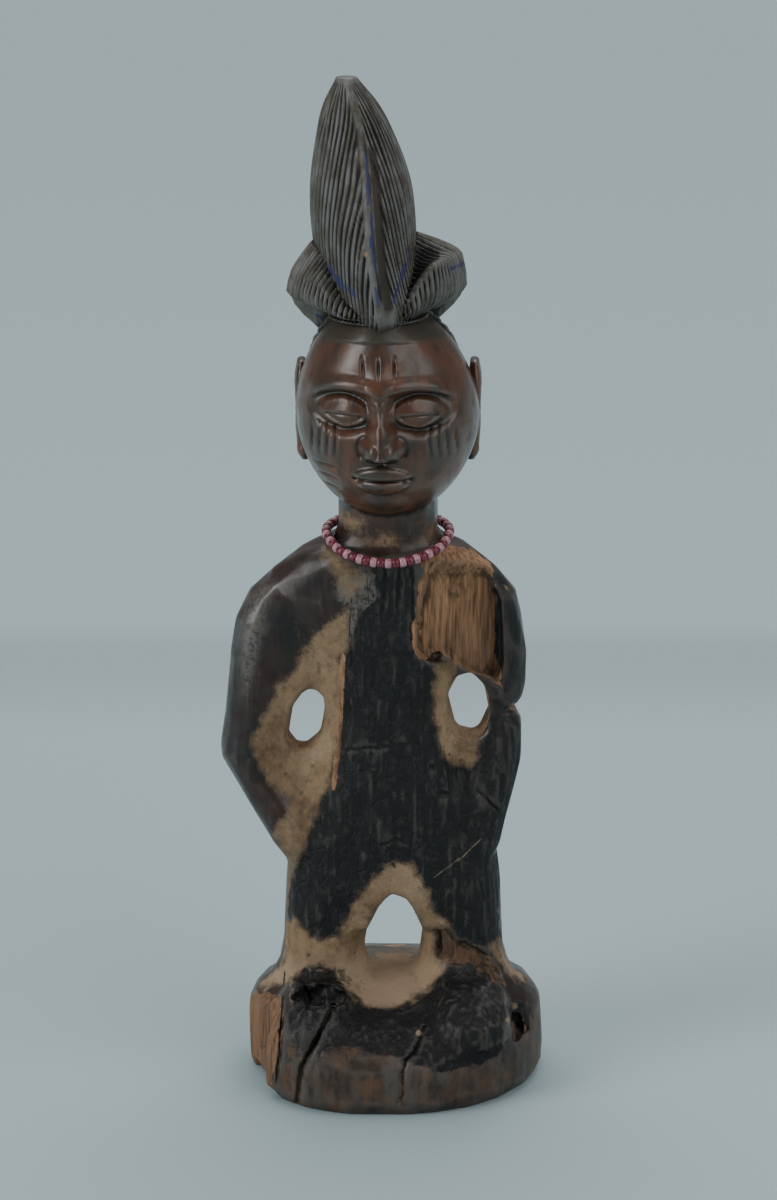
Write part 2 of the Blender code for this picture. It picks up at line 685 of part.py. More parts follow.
def make_figure():
    """The whole carving, of one block: limbs fused into a blank, gaps cut, head and hair joined on."""
    shape = bmesh.new()
    add_blank(shape)
    figure = bpy.data.objects.new("ibeji_figure", mesh_from("ibeji_figure", shape))
    bpy.context.scene.collection.objects.link(figure)
    figure.data.materials.append(material(WOOD))
    fuse = figure.modifiers.new("fuse", "REMESH")
    fuse.mode = "VOXEL"
    fuse.voxel_size = FUSE_SIZE
    fuse.use_smooth_shade = True
    for name, gap, flare in (
        ("left_arm_gap", LEFT_GAP, GAP_FLARE),
        ("right_arm_gap", RIGHT_GAP, GAP_FLARE),
        ("leg_gap", LEG_GAP, LEG_FLARE),
    ):
        add_boolean(figure, gap_cutter(name, gap, flare), "DIFFERENCE")
    soften = figure.modifiers.new("soften", "SMOOTH")
    soften.factor = 0.5
    soften.iterations = 4
    thin = figure.modifiers.new("thin", "DECIMATE")
    thin.ratio = BLANK_SHARE
    joined = [
        carved_solid("head_block", add_head),
        carved_solid("brim_block", add_brim),
        carved_solid("crest_block", add_crest),
        carved_solid("left_ear_block", lambda shape: add_ear(shape, -1.0)),
        carved_solid("right_ear_block", lambda shape: add_ear(shape, 1.0)),
    ]
    for tool in joined:
        add_boolean(figure, tool, "UNION")
    for tool in damage_cutters():
        add_boolean(figure, tool, "DIFFERENCE")
    waste = Vector((0.0, 0.0, -2.0 * SAW_ALLOWANCE))
    waste_size = (PLINTH_WIDTH, PLINTH_DEPTH, 2.0 * SAW_ALLOWANCE)
    add_boolean(figure, block_cutter("saw_cut", waste, waste_size, 0.0), "DIFFERENCE")
    return figure


def surface_of(made):
    """The finished surface of an object, for finding what rests on it."""
    bpy.context.view_layer.update()
    graph = bpy.context.evaluated_depsgraph_get()
    return BVHTree.FromObject(made, graph)


def string_height(turn):
    """Height of the string on its way round the neck: lowest at the front."""
    end = STRING_FRONT_Z if math.cos(turn) > 0.0 else STRING_BACK_Z
    return end + (STRING_SIDE_Z - end) * math.sin(turn) ** 2


def string_point(turn, reach):
    middle = at(NECK[1][1], NECK[1][2], string_height(turn))
    return middle + Vector((reach * math.sin(turn), -reach * math.cos(turn), 0.0))


def string_route(surface, count):
    """Points round the neck: at each height the string is drawn in until it meets the wood."""
    clear = BEAD_DIAMETER / 2.0 + REST_GAP
    step = clear / 10.0
    reaches = []
    for i in range(count):
        turn = 2.0 * math.pi * i / count
        reach = 2.0 * NECK[1][3] * PART
        while reach > step and surface.find_nearest(string_point(turn, reach - step))[3] > clear:
            reach -= step
        reaches.append(reach)
    for _ in range(count):
        reaches = [max(r, (reaches[i - 1] + reaches[(i + 1) % count]) / 2.0) for i, r in enumerate(reaches)]
    return [string_point(2.0 * math.pi * i / count, reach) for i, reach in enumerate(reaches)]


def even_points(route, count):
    """Points at equal steps along a closed route, with the direction of the route at each."""
    steps = [(route[(i + 1) % len(route)] - p).length for i, p in enumerate(route)]
    whole = sum(steps)
    found = []
    index = 0
    passed = 0.0
    for k in range(count):
        wanted = whole * k / count
        while passed + steps[index] < wanted:
            passed += steps[index]
            index += 1
        here = route[index]
        there = route[(index + 1) % len(route)]
        found.append(here.lerp(there, (wanted - passed) / steps[index]))
    return found, whole


def bead_mesh(length, finish, name):
    """A glass seed bead: a short ring with rounded edges, along Z."""
    outer = BEAD_DIAMETER / 2.0
    hole = BEAD_HOLE / 2.0
    edge = 0.28 * length
    profile = [(outer, -length / 2.0 + edge), (outer, length / 2.0 - edge), (hole, length / 2.0)]
    profile.append((hole, -length / 2.0))
    around = BEAD_SIDES
    shape = bmesh.new()
    loops = []
    for i in range(around):
        turn = 2.0 * math.pi * i / around
        loops.append([shape.verts.new((r * math.cos(turn), r * math.sin(turn), z)) for r, z in profile])
    for i, loop in enumerate(loops):
        other = loops[(i + 1) % around]
        for k in range(len(profile)):
            m = (k + 1) % len(profile)
            shape.faces.new((loop[k], other[k], other[m], loop[m]))
    mesh = mesh_from(name, shape)
    mesh.materials.append(material(finish))
    return mesh


def make_string(figure):
    """The string of beads: pink and red by turns on one knotted loop of thread."""
    surface = surface_of(figure)
    route = string_route(surface, 144)
    places, whole = even_points(route, BEAD_COUNT)
    length = whole / BEAD_COUNT - BEAD_GAP
    pink = bead_mesh(length, PINK_GLASS, "pink_bead")
    red = bead_mesh(length, RED_GLASS, "red_bead")
    for k, place in enumerate(places):
        bead = bpy.data.objects.new(f"bead_{k + 1:02d}", red if k % 2 else pink)
        bpy.context.scene.collection.objects.link(bead)
        along = places[(k + 1) % BEAD_COUNT] - places[k - 1]
        bead.location = place
        bead.rotation_mode = "QUATERNION"
        bead.rotation_quaternion = along.to_track_quat("Z", "Y")
    curve = bpy.data.curves.new("bead_thread", "CURVE")
    curve.dimensions = "3D"
    curve.bevel_depth = THREAD_DIAMETER / 2.0
    curve.bevel_resolution = 0
    line = curve.splines.new("POLY")
    line.points.add(BEAD_COUNT - 1)
    line.use_cyclic_u = True
    for point, place in zip(line.points, places):
        point.co = (*place, 1.0)
    thread = bpy.data.objects.new("bead_thread", curve)
    bpy.context.scene.collection.objects.link(thread)
    curve.materials.append(material(COTTON))


for old in list(bpy.data.objects):
    bpy.data.objects.remove(old)
make_string(make_figure())
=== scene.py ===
# A carved wooden twin figure with a string of glass beads round its neck.

import math
from itertools import product

import bpy
import numpy as np
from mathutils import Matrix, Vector


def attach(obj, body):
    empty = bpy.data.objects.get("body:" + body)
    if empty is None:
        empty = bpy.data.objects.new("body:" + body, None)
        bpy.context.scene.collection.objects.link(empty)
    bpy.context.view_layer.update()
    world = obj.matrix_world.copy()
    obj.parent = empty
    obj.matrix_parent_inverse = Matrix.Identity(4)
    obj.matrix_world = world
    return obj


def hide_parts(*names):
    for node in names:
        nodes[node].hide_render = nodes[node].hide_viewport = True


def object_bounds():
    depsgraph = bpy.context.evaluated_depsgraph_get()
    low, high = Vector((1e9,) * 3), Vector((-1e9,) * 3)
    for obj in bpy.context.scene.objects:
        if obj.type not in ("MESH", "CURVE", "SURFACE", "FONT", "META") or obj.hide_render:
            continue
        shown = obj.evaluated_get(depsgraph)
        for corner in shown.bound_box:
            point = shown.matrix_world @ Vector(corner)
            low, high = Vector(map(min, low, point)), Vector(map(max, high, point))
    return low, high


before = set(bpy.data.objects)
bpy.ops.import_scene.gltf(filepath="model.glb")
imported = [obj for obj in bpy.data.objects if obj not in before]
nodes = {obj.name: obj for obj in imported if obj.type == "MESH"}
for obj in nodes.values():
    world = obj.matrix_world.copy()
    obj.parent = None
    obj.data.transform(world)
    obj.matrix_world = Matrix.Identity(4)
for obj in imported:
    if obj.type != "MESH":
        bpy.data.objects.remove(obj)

cad_low, cad_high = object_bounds()

# The view of the photograph: aim and distance in metres
AIM = Vector((-0.0019, 0.0, 0.1357))
DISTANCE = 1.2
RISE = math.radians(16.5)
LENS = 131.46
SENSOR = 36.0
PHOTO_WIDTH = 777.0
PHOTO_HEIGHT = 1200.0

bpy.ops.object.select_all(action="DESELECT")
eye = AIM + DISTANCE * Vector((0.0, -math.cos(RISE), math.sin(RISE)))
bpy.ops.object.camera_add(location=eye, rotation=(math.pi / 2.0 - RISE, 0.0, 0.0))
camera = bpy.context.object
camera.data.lens = LENS
camera.data.sensor_width = SENSOR
camera.data.clip_start = 0.01
bpy.context.scene.camera = camera

# The carving is worked out in millimetres
MM = 0.001
PLINTH_TOP = 21.5


def smooth_step(low, high, value):
    share = np.clip((value - low) / (high - low), 0.0, 1.0)
    return share * share * (3.0 - 2.0 * share)


def bump(distance):
    """A round hill, 1 in the middle and 0 from distance 1 outwards."""
    return np.maximum(0.0, 1.0 - distance * distance) ** 1.5


def noise(points, size, seed=0):
    """Smooth noise from -1 to 1 with hills of that size, which may differ by axis."""
    grid = points / np.asarray(size, float) + 31.7 * (seed + 1)
    cell = np.floor(grid).astype(np.int64)
    share = grid - cell
    share = share * share * (3.0 - 2.0 * share)
    total = np.zeros(len(points))
    for corner in product((0, 1), repeat=3):
        key = (cell + corner) @ np.array((73856093, 19349663, 83492791))
        key = (key ^ (key >> 13)) * 1274126177 & 0x7FFFFFFF
        key = (key ^ (key >> 11)) * 668265263 & 0x7FFFFFFF
        weight = np.prod(np.where(corner, share, 1.0 - share), axis=1)
        total += weight * (key / 0x3FFFFFFF - 1.0)
    return total


def smooth_rows(wanted, heights, values):
    """Values on a smooth line through a table's rows."""
    slope = np.gradient(values, heights, axis=0)
    k = np.clip(np.searchsorted(heights, wanted) - 1, 0, len(heights) - 2)
    shape = (-1,) + (1,) * (values.ndim - 1)
    step = (heights[k + 1] - heights[k]).reshape(shape)
    t = (wanted - heights[k]).reshape(shape) / step
    start = (2.0 * t ** 3 - 3.0 * t ** 2 + 1.0) * values[k] + (t ** 3 - 2.0 * t ** 2 + t) * step * slope[k]
    return start + (3.0 * t ** 2 - 2.0 * t ** 3) * values[k + 1] + (t ** 3 - t ** 2) * step * slope[k + 1]


def photo_place(points):
    """The photograph's pixel at which each point is seen."""
    x, y, z = points.T
    x = x - AIM.x / MM
    z = z - AIM.z / MM
    away = DISTANCE / MM + y * math.cos(RISE) - z * math.sin(RISE)
    up = y * math.sin(RISE) + z * math.cos(RISE)
    scale = LENS / SENSOR * PHOTO_HEIGHT
    return np.stack((PHOTO_WIDTH / 2.0 + scale * x / away, PHOTO_HEIGHT / 2.0 - scale * up / away), axis=1)


def line_distance(places, line):
    """Distance in pixels from each place to a line of pixels, and how far along the line it is, 0 to 1."""
    line = np.asarray(line, float)
    best = np.full(len(places), 1e9)
    along = np.zeros(len(places))
    for k in range(len(line) - 1):
        a = line[k]
        d = line[k + 1] - a
        t = np.clip((places - a) @ d / (d @ d), 0.0, 1.0)
        gap = np.linalg.norm(places - a - t[:, None] * d, axis=1)
        along = np.where(gap < best, (k + t) / (len(line) - 1), along)
        best = np.minimum(best, gap)
    return best, along


def area(places, outline, soft):
    """1 inside an outline of pixels, 0 outside it, with an edge that is soft pixels wide."""
    outline = np.asarray(outline, float)
    gap, _ = line_distance(places, np.vstack((outline, outline[:1])))
    inside = np.zeros(len(places), bool)
    x, y = places.T
    for a, b in zip(outline, np.roll(outline, -1, axis=0)):
        if a[1] == b[1]:
            continue
        crosses = (a[1] > y) != (b[1] > y)
        inside ^= crosses & (x < (b[0] - a[0]) * (y - a[1]) / (b[1] - a[1]) + a[0])
    return smooth_step(-soft, soft, np.where(inside, gap, -gap))


def areas(places, outlines, soft):
    """1 inside any of these outlines, 0 outside them all."""
    return np.max([area(places, outline, soft) for outline in outlines], axis=0)


def spot_distance(places, middle):
    """Distance in pixels from each place to one pixel."""
    return np.linalg.norm(places - middle, axis=1)


# Meshes
def add_object(name, mesh):
    made = bpy.data.objects.new(name, mesh)
    bpy.context.scene.collection.objects.link(made)
    return made


def skin(name, rings):
    """A closed skin over rings of points, in millimetres, with a cap on each end."""
    rows, columns = rings.shape[:2]
    points = rings.reshape(-1, 3)
    faces = []
    for row in range(rows - 1):
        for c in range(columns):
            d = (c + 1) % columns
            low = row * columns
            high = low + columns
            faces.append((low + c, low + d, high + d, high + c))
    for row, turned in ((0, True), (rows - 1, False)):
        middle = len(points)
        points = np.vstack((points, rings[row].mean(axis=0)))
        for c in range(columns):
            d = (c + 1) % columns
            first, second = (d, c) if turned else (c, d)
            faces.append((row * columns + first, row * columns + second, middle))
    mesh = bpy.data.meshes.new(name)
    mesh.from_pydata((points * MM).tolist(), [], faces)
    return add_object(name, mesh)


def only(made):
    """Selects this object alone and makes it active."""
    bpy.ops.object.select_all(action="DESELECT")
    made.select_set(True)
    bpy.context.view_layer.objects.active = made


def turn_outwards(made):
    only(made)
    bpy.ops.object.mode_set(mode="EDIT")
    bpy.ops.mesh.select_all(action="SELECT")
    bpy.ops.mesh.normals_make_consistent(inside=False)
    bpy.ops.object.mode_set(mode="OBJECT")


def read_points(mesh, name):
    flat = np.empty(len(mesh.vertices) * 3)
    mesh.vertices.foreach_get(name, flat)
    return flat.reshape(-1, 3)


def points_of(mesh):
    return read_points(mesh, "co") / MM


def normals_of(mesh):
    return read_points(mesh, "normal")


def set_points(mesh, points):
    mesh.vertices.foreach_set("co", (points * MM).ravel())
    mesh.update()


def apply_modifier(made, kind, **settings):
    only(made)
    modifier = made.modifiers.new(kind.lower(), kind)
    for key, value in settings.items():
        setattr(modifier, key, value)
    bpy.ops.object.modifier_apply(modifier=modifier.name)


# The head, in the sizes of the solid
HEAD_MIDDLE = (-2.0, -2.0, 168.0)
HEAD_HALF_WIDTH = 24.7
HEAD_FRONT = 25.0
HEAD_BACK = 27.0
HEAD_UP = 32.0
HEAD_DOWN = 28.0
HEAD_LEAN = -0.06
HEAD_TURN = math.radians(-4.0)
JAW_FULLNESS = 0.74
TEMPLE_FULLNESS = 1.25
FOREHEAD_FULLNESS = 0.6
BROW_Z = 179.0
EYE_Z = 173.0
EYE_X = 9.9
EYE_HALF_WIDTH = 6.3
EYE_HALF_HEIGHT = 3.7
NOSE_BASE_Z = 161.0
NOSE_HALF_WIDTH = 5.2
MOUTH_Z = 154.6
MOUTH_HALF_WIDTH = 8.4
CHIN_Z = 145.4
HEAD_COLUMNS = 210
HEAD_ROW = 0.42
HEAD_CROWDING = 0.66
BAND_Z = 191.4
BAND_RISE = 0.55
STROKE_HALF_WIDTH = 0.62
STROKE_DEPTH = 1.0
# Cut strokes: across and height of both ends, from the middle line of the face
STROKES = [(x, 182.4, x, 187.6) for x in (-4.2, 0.0, 4.2)]
for side in (-1.0, 1.0):
    STROKES += [(side * x, 160.5, side * (x - 0.4), 169.0) for x in (12.8, 15.0, 17.2, 19.4)]
STROKES += [(-19.0, z, -12.0, z - 0.6) for z in (157.4, 154.2, 151.0, 147.8)]


def almond(x, z, half_width, half_height):
    return np.sqrt((np.abs(x) / half_width) ** 1.5 + (np.abs(z) / half_height) ** 2.0)


def brow_relief(side, z):
    arch = BROW_Z + 1.4 - 0.022 * (side - 8.0) ** 2
    edge = smooth_step(-2.4, -0.6, z - arch) * smooth_step(3.4, 0.4, z - arch)
    return 1.8 * edge * smooth_step(21.5, 15.0, side)


def eye_relief(side, z):
    hollow = smooth_step(1.0, 0.55, np.hypot((side - EYE_X) / 10.0, (z - EYE_Z) / 7.6))
    edge = almond(side - EYE_X, z - EYE_Z, EYE_HALF_WIDTH, EYE_HALF_HEIGHT)
    ball = 2.3 * np.sqrt(np.maximum(0.0, 1.0 - (0.97 * edge) ** 2))
    lid = 1.15 * bump((edge - 1.02) / 0.17) - 0.45 * bump((edge - 1.36) / 0.16)
    shut = EYE_Z - 0.5 - 0.02 * (side - EYE_X) ** 2
    cover = 0.55 * smooth_step(shut - 0.12, shut + 0.12, z) * smooth_step(0.98, 0.86, edge)
    slit = 0.5 * bump((z - shut) / 0.45) * smooth_step(0.95, 0.8, edge)
    return -2.6 * hollow + ball + lid + cover - slit


def nose_relief(side, z):
    run = np.clip((BROW_Z + 1.0 - z) / (BROW_Z + 1.0 - NOSE_BASE_Z), 0.0, 1.0)
    under = smooth_step(NOSE_BASE_Z - 1.3, NOSE_BASE_Z + 0.6, z)
    root = smooth_step(BROW_Z + 9.0, BROW_Z - 1.0, z)
    bridge = bump(side / (3.8 + 2.0 * run ** 3)) * (1.6 + 4.6 * run ** 1.3)
    round_wing = np.hypot((side - NOSE_HALF_WIDTH + 1.5) / 2.9, (z - NOSE_BASE_Z - 2.6) / 3.2)
    wing = 2.5 * bump(round_wing) - 0.6 * bump((round_wing - 1.05) / 0.2) * smooth_step(3.0, 4.6, side)
    nostril = 1.3 * bump(np.hypot((side - 2.7) / 1.5, (z - NOSE_BASE_Z - 0.3) / 1.0))
    return (bridge * root + wing) * under - nostril


def mouth_relief(x, z):
    muzzle = 1.5 * bump(np.hypot(x / 14.0, (z - MOUTH_Z) / 9.0))
    upper = almond(x, z - MOUTH_Z - 1.3, MOUTH_HALF_WIDTH, 2.9)
    lower = almond(x, z - MOUTH_Z + 1.7, MOUTH_HALF_WIDTH - 1.0, 2.9)
    lips = np.maximum(1.3 * smooth_step(1.0, 0.8, upper) + 0.9 * bump(upper),
                      1.4 * smooth_step(1.0, 0.8, lower) + 1.0 * bump(lower))
    reach = smooth_step(MOUTH_HALF_WIDTH + 0.8, MOUTH_HALF_WIDTH - 2.0, np.abs(x))
    line = 1.7 * bump((z - MOUTH_Z) / 0.65) * reach
    philtrum = 0.6 * bump(x / 1.3) * bump((z - MOUTH_Z - 5.2) / 1.9)
    return muzzle + lips - line - philtrum


def stroke_depth(x, z):
    """How deep the cut strokes are."""
    places = np.stack((x.ravel(), z.ravel()), axis=1)
    deepest = np.zeros(len(places))
    for x1, z1, x2, z2 in STROKES:
        gap, along = line_distance(places, ((x1, z1), (x2, z2)))
        wedge = np.maximum(0.0, 1.0 - gap / STROKE_HALF_WIDTH)
        deepest = np.maximum(deepest, wedge * (0.45 + 0.55 * bump(2.0 * along - 1.0)))
    return STROKE_DEPTH * deepest.reshape(x.shape)


def face_relief(x, z):
    side = np.abs(x)
    chin = 1.6 * bump(np.hypot(x / 9.0, (z - CHIN_Z) / 5.0))
    cheek = 0.9 * bump(np.hypot((side - 15.0) / 8.0, (z - 166.5) / 8.0))
    brow = brow_relief(side, z) * (1.0 - 0.5 * bump(side / 3.5))
    relief = brow + eye_relief(side, z) + nose_relief(side, z) + mouth_relief(x, z) + chin + cheek
    band = BAND_RISE * smooth_step(-0.25, 0.2, z - BAND_Z + 0.006 * x ** 2)
    return relief + band - stroke_depth(x, z)


def head_point(turn, z, relief=True):
    """Points of the head's skin at these turns and heights above the plinth."""
    mx, my, mz = HEAD_MIDDLE
    up = np.clip((z - mz) / np.where(z > mz, HEAD_UP, HEAD_DOWN), -1.0, 1.0)
    low = np.maximum(0.0, -up)
    out = np.sqrt(1.0 - up ** 2)
    facing = np.cos(turn)
    wide = np.where(up < 0.0, out ** JAW_FULLNESS * (1.0 - 0.2 * low ** 2), out ** TEMPLE_FULLNESS)
    over = np.where(facing > 0.0, out ** FOREHEAD_FULLNESS, out)
    deep = np.where(up < 0.0, out ** JAW_FULLNESS * (1.0 - 0.1 * low), over)
    x = HEAD_HALF_WIDTH * wide * np.sin(turn)
    y = -np.where(facing > 0.0, HEAD_FRONT, HEAD_BACK) * deep * facing
    if relief:
        front = smooth_step(0.25, 0.6, facing) * smooth_step(-0.99, -0.85, up)
        y = y - front * face_relief(x, z)
    c = math.cos(HEAD_TURN)
    s = math.sin(HEAD_TURN)
    across = mx + c * x - s * y + HEAD_LEAN * np.maximum(0.0, z - mz)
    return np.stack((across, my + s * x + c * y, z), axis=-1)


def make_head():
    heights = np.concatenate(((140.4, 140.8), np.arange(141.3, 196.0, HEAD_ROW), (197.0, 199.0)))
    even = 2.0 * np.pi * np.arange(HEAD_COLUMNS) / HEAD_COLUMNS
    turn, z = np.meshgrid(even - HEAD_CROWDING * np.sin(even), heights)
    rings = head_point(turn, z)
    rings[..., 2] += PLINTH_TOP
    return skin("head", rings)


# The ears
EAR_ROWS = [
    (153.4, 1.6, 1.0),
    (155.2, 2.8, 1.9),
    (158.0, 2.6, 1.8),
    (163.0, 3.8, 1.8),
    (170.0, 5.4, 2.0),
    (176.0, 5.6, 2.0),
    (181.0, 3.8, 1.2),
]
EAR_Y = 3.6
EAR_COLUMNS = 56
EAR_LEVELS = 64


def make_ear(name, side):
    table = np.array(EAR_ROWS)
    heights = np.linspace(table[0, 0], table[-1, 0], EAR_LEVELS)
    deep = smooth_rows(heights, table[:, 0], table[:, 1])
    thick = smooth_rows(heights, table[:, 0], table[:, 2])
    turn = 2.0 * np.pi * np.arange(EAR_COLUMNS) / EAR_COLUMNS
    x = HEAD_MIDDLE[0] + side * (HEAD_HALF_WIDTH - 1.0 - 0.0035 * (heights - 172.0) ** 2)
    rings = np.empty((len(heights), len(turn), 3))
    along = deep[:, None] * np.sin(turn)
    bowl = np.hypot((along + 0.4) / 3.6, (heights[:, None] - 171.5) / 8.6)
    dip = 1.5 * smooth_step(1.0, 0.72, bowl) - 0.7 * bump((bowl - 0.5) / 0.22)
    face = smooth_step(0.0, 0.5, side * np.cos(turn))
    rings[..., 0] = x[:, None] + thick[:, None] * np.cos(turn) - side * face * dip
    rings[..., 1] = EAR_Y + along
    rings[..., 2] = PLINTH_TOP + heights[:, None]
    return skin(name, rings)


# The crest of hair: height, middle x, half width, front y and back y
CREST = np.array([
    (190.0, -5.0, 11.0, -15.0, 18.0),
    (196.5, -5.2, 12.4, -22.8, 23.0),
    (206.0, -7.0, 13.5, -23.2, 22.6),
    (214.0, -8.2, 13.9, -22.4, 21.0),
    (222.0, -8.8, 14.1, -20.6, 18.8),
    (230.0, -9.3, 13.6, -18.0, 16.0),
    (237.5, -10.0, 12.1, -14.8, 13.0),
    (244.0, -10.8, 10.2, -11.4, 10.2),
    (249.0, -11.5, 8.5, -9.0, 7.9),
    (253.0, -12.1, 6.5, -6.8, 5.9),
    (256.6, -12.7, 4.0, -4.6, 3.7),
    (258.5, -13.0, 2.8, -3.3, 2.4),
])
CREST_FRONT_FULLNESS = 1.55
CREST_BACK_FULLNESS = 1.8
CREST_ROW = 1.45
QUARTER_COLUMNS = 104
QUARTER_GROOVES = 19
GROOVE_FAN = 0.6
GROOVE_DEPTH = 0.75
KEEL_HALF_WIDTH = 1.3
KEEL_BARE = 2.9
KEEL_RISE = 0.8
KEEL_SHIFT = 1.6


def quarter(half_width, reach, power, count):
    """Points at equal steps along a quarter of a rounded outline, from the keel to the side."""
    turn = np.linspace(0.0, np.pi / 2.0, 361)
    s = np.sin(turn)
    c = np.cos(turn)
    stretch = (s ** power + c ** power) ** (-1.0 / power)
    x = half_width * s * stretch
    y = reach * c * stretch
    run = np.concatenate(((0.0,), np.cumsum(np.hypot(np.diff(x), np.diff(y)))))
    wanted = np.linspace(0.0, run[-1], count + 1)
    return np.interp(wanted, run, x), np.interp(wanted, run, y), wanted, run[-1]


def groove(phase):
    """A narrow groove at each whole number, with a round ridge between."""
    return (0.5 + 0.5 * np.cos(2.0 * np.pi * phase)) ** 1.8


def crest_ring(z, middle, half_width, front, back):
    """Points round the crest at that height, from the keel by the right side to the back and on."""
    taper = min(1.0, half_width / 10.0)
    high = np.clip((z - 195.0) / 66.0, 0.0, 1.0)
    level = np.full(QUARTER_COLUMNS + 1, z + PLINTH_TOP)
    ring = []
    for faces_front, side in ((True, 1.0), (False, 1.0), (False, -1.0), (True, -1.0)):
        reach = -front if faces_front else back
        power = CREST_FRONT_FULLNESS if faces_front else CREST_BACK_FULLNESS
        x, y, run, whole = quarter(half_width, reach, power, QUARTER_COLUMNS)
        share = run / whole
        fan = GROOVE_FAN * high
        lane = share + fan * (1.0 - share)
        where = np.stack((40.0 * lane, np.full(len(lane), 20.0 * side + reach), level), axis=1)
        phase = QUARTER_GROOVES * lane + 0.3 * noise(where, (2.8, 5.0, 16.0), 31)
        bare = KEEL_BARE * smooth_step(250.0, 225.0, z) if side > 0.0 and faces_front else 0.0
        fade = smooth_step(bare + 0.9, bare + 1.9, run) * (1.15 - 0.5 * share)
        uneven = 1.0 + 0.5 * noise(where, (1.7, 5.0, 9.0), 32)
        cut = GROOVE_DEPTH * taper * groove(phase) * fade * uneven
        keel = KEEL_RISE * taper * bump(run / KEEL_HALF_WIDTH)
        outward = np.stack((np.maximum(x, 0.0) / half_width ** 2, y / reach ** 2), axis=1)
        outward /= np.linalg.norm(outward, axis=1)[:, None]
        flat = np.stack((x, y), axis=1) - cut[:, None] * outward
        along = flat[:, 1] + keel
        across = side * flat[:, 0]
        if faces_front:
            along = -along
            across = across + KEEL_SHIFT * (1.0 - share) * smooth_step(262.0, 245.0, z)
        points = np.stack((middle + across, along, level), axis=1)
        backwards = (side < 0.0) == faces_front
        ring.append(points[::-1][:-1] if backwards else points[:-1])
    return np.vstack(ring)


def make_crest():
    heights = np.concatenate((np.arange(192.0, 256.5, CREST_ROW), np.linspace(256.6, 258.5, 5)))
    table = np.stack([smooth_rows(heights, CREST[:, 0], CREST[:, k]) for k in range(1, 5)], axis=1)
    return skin("crest", np.array([crest_ring(z, *row) for z, row in zip(heights, table)]))


# The brim of hair round the foot of the crest
BRIM_X = -5.0
BRIM_Y = 0.6
BRIM_HALF_WIDTH = 24.2
BRIM_FRONT = 21.4
BRIM_BACK = 24.0
BRIM_FULLNESS = 1.75
RIDGE_FRONT_Z = 197.5
RIDGE_RIGHT_Z = 210.0
RIDGE_LEFT_Z = 206.0
RIDGE_BACK_Z = 197.0
HAIRLINE_FRONT_Z = 195.5
HAIRLINE_BACK_Z = 160.0
HAIR_THICKNESS = 1.2
LOBE_TURN = math.radians(42.0)
LOBE_SPREAD = math.radians(38.0)
VALLEY_DEPTH = 6.5
# Shares of the reach and of the height of the wall
BRIM_WALL = [(0.95, 0.32), (0.995, 0.62), (0.965, 0.92)]
# Shares of the reach, climb, and how much less of it on the right
BRIM_TOP = [(0.92, 1.7, 0.0), (0.70, 6.6, 2.2), (0.45, 8.8, 2.2), (0.30, 9.7, 2.3)]
BRIM_COLUMNS = 600
BRIM_GROOVES = 92
BRIM_ROWS = 28


def lobe_share(turn):
    """1 in the middle of either front lobe, and 0 outside it."""
    around = np.abs(np.mod(turn + np.pi, 2.0 * np.pi) - np.pi)
    return bump((around - LOBE_TURN) / LOBE_SPREAD)


def ridge_height(turn):
    s = np.sin(turn)
    side = np.where(s > 0.0, RIDGE_RIGHT_Z, RIDGE_LEFT_Z)
    back = RIDGE_BACK_Z + (side - RIDGE_BACK_Z) * np.abs(s) ** 0.8
    start = np.where(s > 0.0, 0.25, 0.35)
    front = RIDGE_FRONT_Z + (side - RIDGE_FRONT_Z) * smooth_step(start, start + 0.6, np.abs(s))
    return np.where(np.cos(turn) < 0.0, back, front)


def hairline_height(turn):
    fall = smooth_step(0.0, -0.9, np.cos(turn))
    return HAIRLINE_FRONT_Z + (HAIRLINE_BACK_Z - HAIRLINE_FRONT_Z) * fall


def head_reach(turn, z):
    plain = head_point(turn - HEAD_TURN, z, relief=False)
    return np.hypot(plain[..., 0] - BRIM_X, plain[..., 1] - BRIM_Y)


